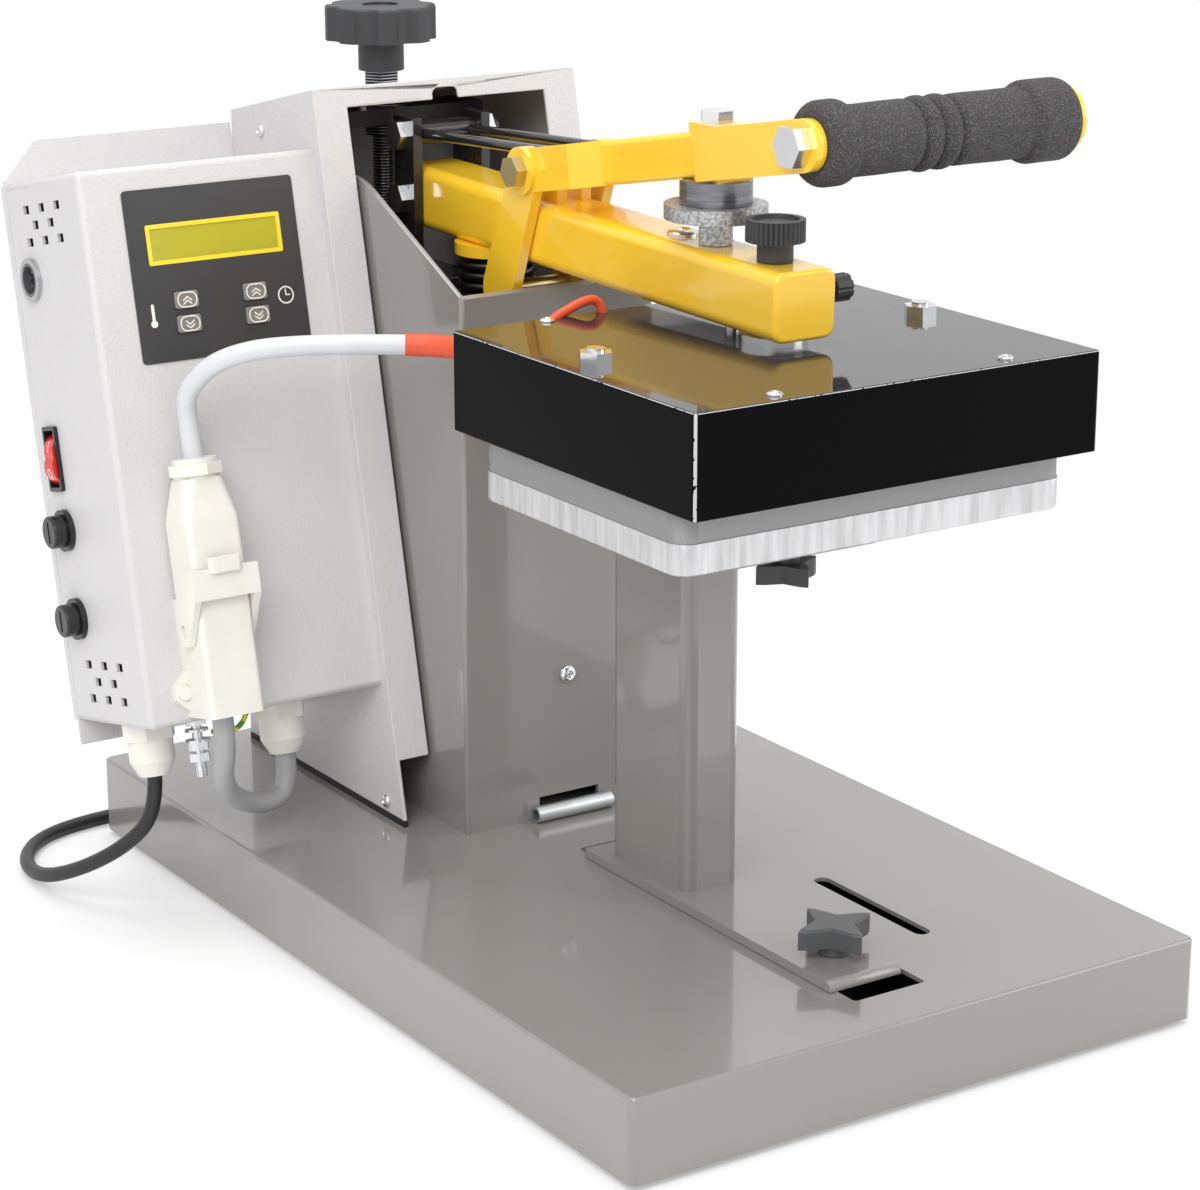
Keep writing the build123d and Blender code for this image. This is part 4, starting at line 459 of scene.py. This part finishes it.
def siliconePad(shape):
    middle = (padLow + padHigh) / 2
    half = (padHigh - padLow) / 2
    rings = []
    for share, inset in pad["insets"]:
        ring = []
        for quarter, (sideX, sideY) in enumerate(((1, 1), (-1, 1), (-1, -1), (1, -1))):
            for index in range(pad["perCorner"] + 1):
                turn = math.pi / 2 * (quarter + index / pad["perCorner"])
                reach = pad["corner"] - inset
                x = middle.x + sideX * (half.x - pad["corner"]) + reach * math.cos(turn)
                y = middle.y + sideY * (half.y - pad["corner"]) + reach * math.sin(turn)
                ring.append(shape.verts.new(Vector((x, y, padLow.z + share * 2 * half.z)) * mm))
        rings.append(ring)
    joinRings(shape, rings)


softPad = piece("siliconePad", siliconePad, "silicone", "slide")
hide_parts("silicone_pad")


# Lift spring: one straight helix, standing from its foot to its head

spring = {"y": 98.0, "radius": 17.0, "wire": 4.0, "foot": 202.3, "head": 306.8, "turns": 21, "perTurn": 24,
          "sides": 10}


def liftSpring(shape):
    rings = []
    upward = Vector((0, 0, 1))
    count = spring["turns"] * spring["perTurn"]
    for step in range(count + 1):
        share = step / count
        turn = 2 * math.pi * spring["turns"] * share
        outward = Vector((math.cos(turn), math.sin(turn), 0))
        centre = Vector((0, spring["y"], spring["foot"] + (spring["head"] - spring["foot"]) * share))
        centre += outward * spring["radius"]
        ring = []
        for index in range(spring["sides"]):
            around = 2 * math.pi * index / spring["sides"]
            reach = outward * math.cos(around) + upward * math.sin(around)
            ring.append(shape.verts.new((centre + reach * spring["wire"] / 2) * mm))
        rings.append(ring)
    joinRings(shape, rings)


lift = piece("liftSpring", liftSpring, "spring_steel")
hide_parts("lift_spring")
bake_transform(lift)
print("foam grip, silicone pad and lift spring made")


# Cords: the route's points are the control points of one smooth spline

tube = {"order": 3, "perStep": 8, "roundness": 5}


def tubeAlong(name, route, diameter, slot, *replaced):
    curve = bpy.data.curves.new(name, "CURVE")
    curve.dimensions = "3D"
    line = curve.splines.new("NURBS")
    line.points.add(len(route) - 1)
    for control, point in zip(line.points, route):
        control.co = (*(Vector(point) * mm), 1)
    line.use_endpoint_u = True
    line.order_u = tube["order"]
    line.resolution_u = tube["perStep"]
    guide = bpy.data.objects.new(name + "Guide", curve)
    bpy.context.scene.collection.objects.link(guide)
    bare = bpy.data.meshes.new_from_object(guide)
    places = [tuple(v.co) for v in bare.vertices]
    bpy.data.meshes.remove(bare)
    curve.bevel_depth = diameter / 2 * mm
    curve.bevel_resolution = tube["roundness"]
    curve.use_fill_caps = True
    bpy.context.view_layer.update()
    mesh = bpy.data.meshes.new_from_object(guide.evaluated_get(bpy.context.evaluated_depsgraph_get()))
    bpy.data.objects.remove(guide)
    mesh.name = name
    mesh.materials.clear()
    mesh.materials.append(materials[slot])
    mesh.shade_smooth()
    made = bpy.data.objects.new(name, mesh)
    bpy.context.scene.collection.objects.link(made)
    if replaced:
        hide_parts(*replaced)
    return made, places


def lengthOf(places):
    return round(sum(math.dist(a, b) for a, b in zip(places, places[1:])), 3)


mains = {"diameter": 7.2, "coilX": 12.0, "coilY": 289.0, "coilRadius": 39.0, "pitch": 7.9,
         "layer": 7.9, "innerSteps": 6, "outerSteps": 3, "plugLead": 56.0, "perHalf": 8}
benchHeight = mains["diameter"] / 2 + 0.1
coilFront = mains["coilY"] - mains["coilRadius"]
mainsRoute = [tuple(boxPoint(-178.5, -26.5, -40.0)), (-180.0, 117.5, 55.0), (-191.0, 131.0, 36.0),
              (-204.0, 158.0, 18.0), (-211.0, 190.0, 5.5), (-205.0, 222.0, benchHeight),
              (-184.0, 246.0, benchHeight), (-146.0, 254.5, benchHeight),
              (-98.0, coilFront, benchHeight), (mains["coilX"] - 62.0, coilFront, benchHeight)]


def coilRoute():
    radii = [mains["coilRadius"] - mains["pitch"] / 2 * step for step in range(mains["innerSteps"])]
    radii.append(radii[-1] - mains["pitch"] / 2)
    radii += [radii[-1] + mains["pitch"] / 2 * (step + 1) for step in range(mains["outerSteps"])]
    places = []
    x, y, height, side, heading = mains["coilX"], coilFront, benchHeight, 1, 1
    for step, radius in enumerate(radii):
        rise = mains["layer"] if step == mains["innerSteps"] else 0
        centreY = y + side * radius
        reach = radius / math.cos(math.pi / (2 * mains["perHalf"]))
        for index in range(mains["perHalf"]):
            share = (index + 0.5) / mains["perHalf"]
            turn = math.pi * share
            places.append((x + heading * reach * math.sin(turn), centreY - side * reach * math.cos(turn),
                           height + rise * share))
        y += side * 2 * radius
        height += rise
        heading = -heading
        side = -side
    places.append((x + 20.0, y, height))
    places.append((x + mains["plugLead"], y, height))
    return places


mainsLead, places = tubeAlong("mainsLead", mainsRoute + coilRoute(), mains["diameter"], "black_cord",
                              "mains_cord", "mains_coil")
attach(mainsLead, "base")
print("mains lead", lengthOf(places))

# The lead starts a foot's length above the CAD cable's low end, and rises straight out of its nut
heater = {"diameter": 9.4, "sleeve": 10.4, "foot": 1.0, "straight": 14, "carryOn": 0.32}
low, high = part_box("heater_cable")
cableStart = boxPoint(-162.0, 0, 13.5)
cableStart += alongU * ((low.z / mm - cableStart.z) / alongU.z + heater["foot"])
sleeveStart = Vector((-84.0, 41.0, 284.5))
cableRise = cableStart + alongU * heater["straight"]
heaterRoute = [tuple(cableStart), tuple(cableRise), (-166.0, 100.0, 262.0), (-155.0, 84.0, 280.0),
               (-126.0, 64.0, 286.0), tuple(sleeveStart)]
lastStep = sleeveStart - Vector(heaterRoute[-2])
sleeveRoute = [tuple(sleeveStart), tuple(sleeveStart + lastStep * heater["carryOn"]), (-61.5, -1.5, 286.0),
               (-58.2, -36.0, 287.0)]

bendStart = cableRise * mm
for name, route, diameter, slot, node in (
        ("heaterLead", heaterRoute, heater["diameter"], "white_cable", "heater_cable"),
        ("heaterSleeve", sleeveRoute, heater["sleeve"], "red_silicone", "heater_sleeve")):
    cable, places = tubeAlong(name, route, diameter, slot, node)
    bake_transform(cable)
    diameter * mm
    print(name, lengthOf(places))

greyRoute = [tuple(boxPoint(-165.0, 3.0, 14)), tuple(boxPoint(-165.0, -12.0, 14)), (-162.0, 84.0, 77.0),
             (-146.0, 97.0, 60.0), (-125.0, 103.0, 54.0), tuple(boxPoint(-115.0, -41.5, -28.0)),
             tuple(boxPoint(-115.0, -26.5, -28.0))]
harnessLead, places = tubeAlong("harnessLead", greyRoute, 10.0, "grey_cable", "grey_cable")
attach(harnessLead, "base")
print("harness lead", lengthOf(places))

# The earth wire is a 26 mm jumper, held at both ends
earthRoute = [tuple(boxPoint(-151.5, -10, -28.0)), (-145.0, 113.0, 90.0), (-134.0, 113.5, 92.0),
              tuple(boxPoint(-131.0, -0.6, -28.0))]
earthLead, places = tubeAlong("earthLead", earthRoute, 2.6, "earth_green", "earth_wire")
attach(earthLead, "base")
print("earth wire", lengthOf(places))

# One of the heater's own wires loops up. Its ends pass through the lid's sheet, which has no hole there.
loopRoute = [(-60.0, -36.5, 302.0), (-53.0, -35.0, 306.5), (-45.0, -34.0, 309.0), (-37.0, -34.0, 312.0),
             (-31.0, -34.5, 312.5), (-28.0, -35.5, 308.0), (-27.0, -36.5, 301.0)]
heaterLoop, places = tubeAlong("heaterLoop", loopRoute, 4.4, "red_silicone")
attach(heaterLoop, "arm")
print("heater loop", lengthOf(places))


# Small fasteners: a domed head, hollow in the middle, with two crossed bars in the hollow.
# Its sizes are shares of the head's radius and height.

screw = {"dome": ((1.0, 0.0), (1.0, 0.35), (0.86, 0.72), (0.58, 0.94), (0.52, 0.95), (0.30, 0.45),
                  (0.02, 0.4)),
         "wingFoot": 0.40, "wingLong": 1.0, "wingWide": 0.16, "wingTall": 0.28}


def turned(shape, profile, centre, axis, sides=24):
    axis = Vector(axis).normalized()
    sideways = axis.orthogonal().normalized()
    upward = axis.cross(sideways)
    rings = []
    for radius, height in profile:
        ring = []
        for index in range(sides):
            turn = 2 * math.pi * index / sides
            outward = sideways * math.cos(turn) + upward * math.sin(turn)
            ring.append(shape.verts.new((Vector(centre) + axis * height + outward * radius) * mm))
        rings.append(ring)
    joinRings(shape, rings)


def block(shape, centre, across, along, axis, size):
    corners = []
    for c in (0, 1):
        for b in (-0.5, 0.5):
            for a in (-0.5, 0.5):
                place = Vector(centre) + Vector(across) * a * size[0] + Vector(along) * b * size[1]
                place += Vector(axis) * c * size[2]
                corners.append(shape.verts.new(place * mm))
    for face in ((0, 1, 3, 2), (4, 6, 7, 5), (0, 4, 5, 1), (2, 3, 7, 6), (0, 2, 6, 4), (1, 5, 7, 3)):
        shape.faces.new([corners[index] for index in face])


def screwHead(radius, height, centre, axis):
    def maker(shape):
        turned(shape, [(radius * wide, height * tall) for wide, tall in screw["dome"]], centre, axis)
        direction = Vector(axis).normalized()
        sideways = direction.orthogonal().normalized()
        foot = Vector(centre) + direction * height * screw["wingFoot"]
        wingSize = (radius * screw["wingLong"], radius * screw["wingWide"], height * screw["wingTall"])
        for wing in (sideways, direction.cross(sideways)):
            block(shape, foot, wing, direction.cross(wing), direction, wingSize)
    return maker


def surfaceOf(name):
    mesh = nodes[name].data
    return BVHTree.FromPolygons([v.co for v in mesh.vertices], [p.vertices for p in mesh.polygons])


# The screw on the arm stands where a line straight down meets the arm
aboveArm = Vector((0, -57, 450)) * mm
armScrew, armWay = surfaceOf("main_arm").ray_cast(aboveArm, Vector((0, 0, -1)))[:2]
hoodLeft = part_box("hood")[0].x / mm
fasteners = [
    ("coverScrewFrontLeft", 3.4, 1.6, (-59.0, -205.5, 306.5), (0, 0, 1), "arm"),
    ("coverScrewFrontRight", 3.4, 1.6, (59.0, -205.5, 306.5), (0, 0, 1), "arm"),
    ("coverScrewRearLeft", 3.4, 1.6, (-59.0, -39.0, 306.5), (0, 0, 1), "arm"),
    ("coverScrewRearRight", 3.4, 1.6, (59.0, -39.0, 306.5), (0, 0, 1), "arm"),
    ("hoodScrewTop", 3.2, 2.0, (hoodLeft, 195.5, 360.4), (-1, 0, 0), "base"),
    ("hoodScrewFoot", 3.2, 2.0, (hoodLeft, 85.1, 49.8), (-1, 0, 0), "base"),
    ("columnScrew", 4.4, 2.8, (4.0, 43.4, 112.0), (0, -1, 0), "base"),
    ("armScrew", 7.0, 2.6, tuple(armScrew / mm), tuple(armWay), "arm"),
]
for name, radius, height, centre, axis, body in fasteners:
    piece(name, screwHead(radius, height, centre, axis), "zinc", body)
print("fasteners:", len(fasteners))


# Panel marks: a rounded ring and two chevrons on each key, and a plain thermometer and clock beside them

def plate(shape, outline, place, out, thick):
    # a flat outline given as pairs (across, up), raised off a face
    low = [shape.verts.new(place(a, b, out) * mm) for a, b in outline]
    high = [shape.verts.new(place(a, b, out + thick) * mm) for a, b in outline]
    shape.faces.new(low)
    shape.faces.new(high)
    for index in range(len(outline)):
        following = (index + 1) % len(outline)
        shape.faces.new((low[index], low[following], high[following], high[index]))


def band(shape, outer, inner, place, out, thick):
    # the strip between two outlines with the same number of points
    for index in range(len(outer)):
        following = (index + 1) % len(outer)
        plate(shape, (outer[index], outer[following], inner[following], inner[index]), place, out, thick)


def rounded(x, u, width, tall, corner, perCorner=5):
    outline = []
    for quarter, (sideX, sideU) in enumerate(((1, 1), (-1, 1), (-1, -1), (1, -1))):
        for index in range(perCorner + 1):
            turn = math.pi / 2 * (quarter + index / perCorner)
            outline.append((x + sideX * (width / 2 - corner) + corner * math.cos(turn),
                            u + sideU * (tall / 2 - corner) + corner * math.sin(turn)))
    return outline


key = {"width": 10.2, "tall": 7.2, "corner": 3.2, "line": 0.65, "arrow": 4.4, "rise": 1.7, "stroke": 0.8,
       "apart": 1.7, "thick": 0.14, "lift": 0.02}


def keyMark(x, u, way, out):
    def maker(shape):
        band(shape, rounded(x, u, key["width"], key["tall"], key["corner"]),
             rounded(x, u, key["width"] - 2 * key["line"], key["tall"] - 2 * key["line"],
                     key["corner"] - key["line"]), boxPoint, out, key["thick"])
        for shift in (-key["apart"] / 2, key["apart"] / 2):
            foot = u + shift - way * key["rise"] / 2
            tip = foot + way * key["rise"]
            for side in (-1, 1):
                corner = x + side * key["arrow"] / 2
                chevron = ((x, tip), (corner, foot), (corner, foot - key["stroke"]),
                           (x, tip - key["stroke"]))
                plate(shape, chevron, boxPoint, out, key["thick"])
    return maker


boxFoot = boxPoint(0, 0, 0)
for number in range(1, 5):
    low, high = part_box(f"button_{number}")
    middle = (low + high) / 2 / mm - boxFoot
    face = max(-(v.co / mm - boxFoot).dot(alongV) for v in nodes[f"button_{number}"].data.vertices)
    way = 1 if number in (1, 2) else -1
    mark = keyMark(middle.x, middle.dot(alongU), way, face + key["lift"])
    piece(f"keyMark{number}", mark, "cream_plastic", f"key_{number}")

marks = {"out": 0.62, "thick": 0.12, "thermometer": (-166.3, 188.5), "clock": (-97.5, 190.5)}


def thermometer(shape):
    x, u = marks["thermometer"]
    plate(shape, rounded(x, u - 4.0, 3.4, 3.4, 1.7), boxPoint, marks["out"], marks["thick"])
    plate(shape, rounded(x, u + 0.6, 1.5, 9.0, 0.75), boxPoint, marks["out"] + 0.01, marks["thick"])


def clock(shape):
    x, u = marks["clock"]
    band(shape, rounded(x, u, 8.4, 8.4, 4.2), rounded(x, u, 7.0, 7.0, 3.5), boxPoint, marks["out"],
         marks["thick"])
    plate(shape, rounded(x, u + 1.4, 0.6, 3.2, 0.3), boxPoint, marks["out"], marks["thick"])
    plate(shape, rounded(x + 1.1, u, 2.4, 0.6, 0.3), boxPoint, marks["out"] + 0.01, marks["thick"])


piece("thermometerMark", thermometer, "cream_plastic", "base")
piece("clockMark", clock, "cream_plastic", "base")

# On and off marks lie on the two faces of the red switch
rockerTree = surfaceOf("rocker_switch")
rockerLow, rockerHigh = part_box("rocker_switch")
rockerMiddle = (rockerLow + rockerHigh) / 2 / mm
switch = {"onUp": 6.4, "offUp": -6.6, "narrow": 0.72, "out": 0.06, "thick": 0.16, "from": -250.0,
          "barHalf": 0.45, "barSteps": 4, "barStep": 1.3, "ring": 5.2, "hole": 3.8}


def onRocker(across, up, out):
    place = rockerMiddle + alongV * across * switch["narrow"] + alongU * up
    place.x = switch["from"]
    hit = rockerTree.ray_cast(place * mm, Vector((1, 0, 0)))[0]
    return hit / mm - Vector((out, 0, 0))


def switchMarks(shape):
    # the bar is laid in short steps, so that it follows the curved face
    half, tall = switch["barHalf"], switch["barStep"]
    for step in range(switch["barSteps"]):
        foot = switch["onUp"] - switch["barSteps"] / 2 * tall + step * tall
        plate(shape, ((-half, foot), (half, foot), (half, foot + tall), (-half, foot + tall)), onRocker,
              switch["out"], switch["thick"])
    outer, inner = (rounded(0, switch["offUp"], width, width, width / 2)
                    for width in (switch["ring"], switch["hole"]))
    band(shape, outer, inner, onRocker, switch["out"], switch["thick"])


piece("switchMarks", switchMarks, "cream_plastic", "rocker")
print("panel and switch marks made")


# Camera, floor and light

view = {"place": (-0.8113, -1.2213, 0.6043), "tilt": 73.25, "turn": -33.41, "lens": 98.79, "sensor": 36}
camera = bpy.data.objects.new("camera", bpy.data.cameras.new("camera"))
bpy.context.scene.collection.objects.link(camera)
camera.location = view["place"]
camera.rotation_euler = (math.radians(view["tilt"]), 0, math.radians(view["turn"]))
camera.data.lens = view["lens"]
camera.data.sensor_width = view["sensor"]
bpy.context.scene.camera = camera

# Pale paper, coloured near black under the hollow tray as painted shade, with a white fade that only the
# camera sees
ground = {"size": 6.0, "drop": 0.2 * mm, "paper": (0.92, 0.92, 0.92), "dark": (0.012, 0.012, 0.012),
          "rim": 16 * mm, "fadeFrom": 0.35, "fadeTo": 0.9, "nearWhite": 0.35, "farWhite": 1.0}
floorMesh = bpy.data.meshes.new("floor")
floorShape = bmesh.new()
bmesh.ops.create_grid(floorShape, x_segments=1, y_segments=1, size=ground["size"])
floorShape.to_mesh(floorMesh)
floorShape.free()
floor = bpy.data.objects.new("floor", floorMesh)
floor.location.z = -ground["drop"]
bpy.context.scene.collection.objects.link(floor)
floorFinish = Finish("floorPaper", ground["paper"], 0.9, specular=0.1)
paper = floorFinish.tree
distance = floorFinish.node("ShaderNodeVectorMath", {"operation": "LENGTH"}, "Value", i0=floorFinish.place)
fade = floorFinish.node("ShaderNodeMapRange", **{
    "Value": distance, "From Min": ground["fadeFrom"], "From Max": ground["fadeTo"],
    "To Min": ground["nearWhite"], "To Max": ground["farWhite"]})
trayLow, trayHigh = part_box("base_tray")
floorX = floorFinish.along((1, 0, 0))
floorY = floorFinish.along((0, 1, 0))
rim = ground["rim"]
shadeUnderTray = ((floorX > trayLow.x + rim) * (floorX < trayHigh.x - rim) * (floorY > trayLow.y + rim)
             * (floorY < trayHigh.y - rim))
seenPaper = fade * (1 - shadeUnderTray) * floorFinish.node("ShaderNodeLightPath", output="Is Camera Ray")
# painted shade: the floor under the tray is coloured near black, and the camera's white glow is cut there
floorFinish.tint(shadeUnderTray, ground["dark"], ground["paper"])
glow = floorFinish.node("ShaderNodeEmission", Color=(1, 1, 1, 1), Strength=1.0)
surface = Value(paper, floorFinish.shader.outputs[0])
blended = floorFinish.node("ShaderNodeMixShader", i0=seenPaper, i1=surface, i2=glow)
paper.links.new(blended.socket, paper.nodes["Material Output"].inputs["Surface"])
floorMesh.materials.append(floorFinish.material)

# The world lights the object a little less than it shows to the camera and in reflections
studio = {"light": 0.68, "seenExtra": 0.32, "aim": Vector((0, 0, 0.2))}
world = bpy.data.worlds.new("studio")
bpy.context.scene.world = world
world.use_nodes = True
tree = world.node_tree
rays = tree.nodes.new("ShaderNodeLightPath")
seen = Value(tree, rays.outputs["Is Camera Ray"]) + Value(tree, rays.outputs["Is Glossy Ray"])
seen = seen + Value(tree, rays.outputs["Is Transmission Ray"])
strength = studio["light"] + studio["seenExtra"] * (seen > 0.5)
backdrop = tree.nodes["Background"]
backdrop.inputs["Color"].default_value = (1, 1, 1, 1)
tree.links.new(strength.socket, backdrop.inputs["Strength"])

lamps = [("keyLamp", (-1.6, -1.5, 2.0), 1.6, 42), ("fillLamp", (1.9, -1.4, 1.2), 1.4, 16),
         ("topLamp", (0.1, 0.3, 2.4), 1.8, 26)]
for name, place, size, power in lamps:
    lamp = bpy.data.objects.new(name, bpy.data.lights.new(name, "AREA"))
    lamp.data.size = size
    lamp.data.energy = power
    lamp.location = place
    lamp.rotation_euler = (studio["aim"] - Vector(place)).to_track_quat("-Z", "Y").to_euler()
    bpy.context.scene.collection.objects.link(lamp)
bpy.context.scene.view_settings.view_transform = "Standard"
print("camera, floor and lamps set")
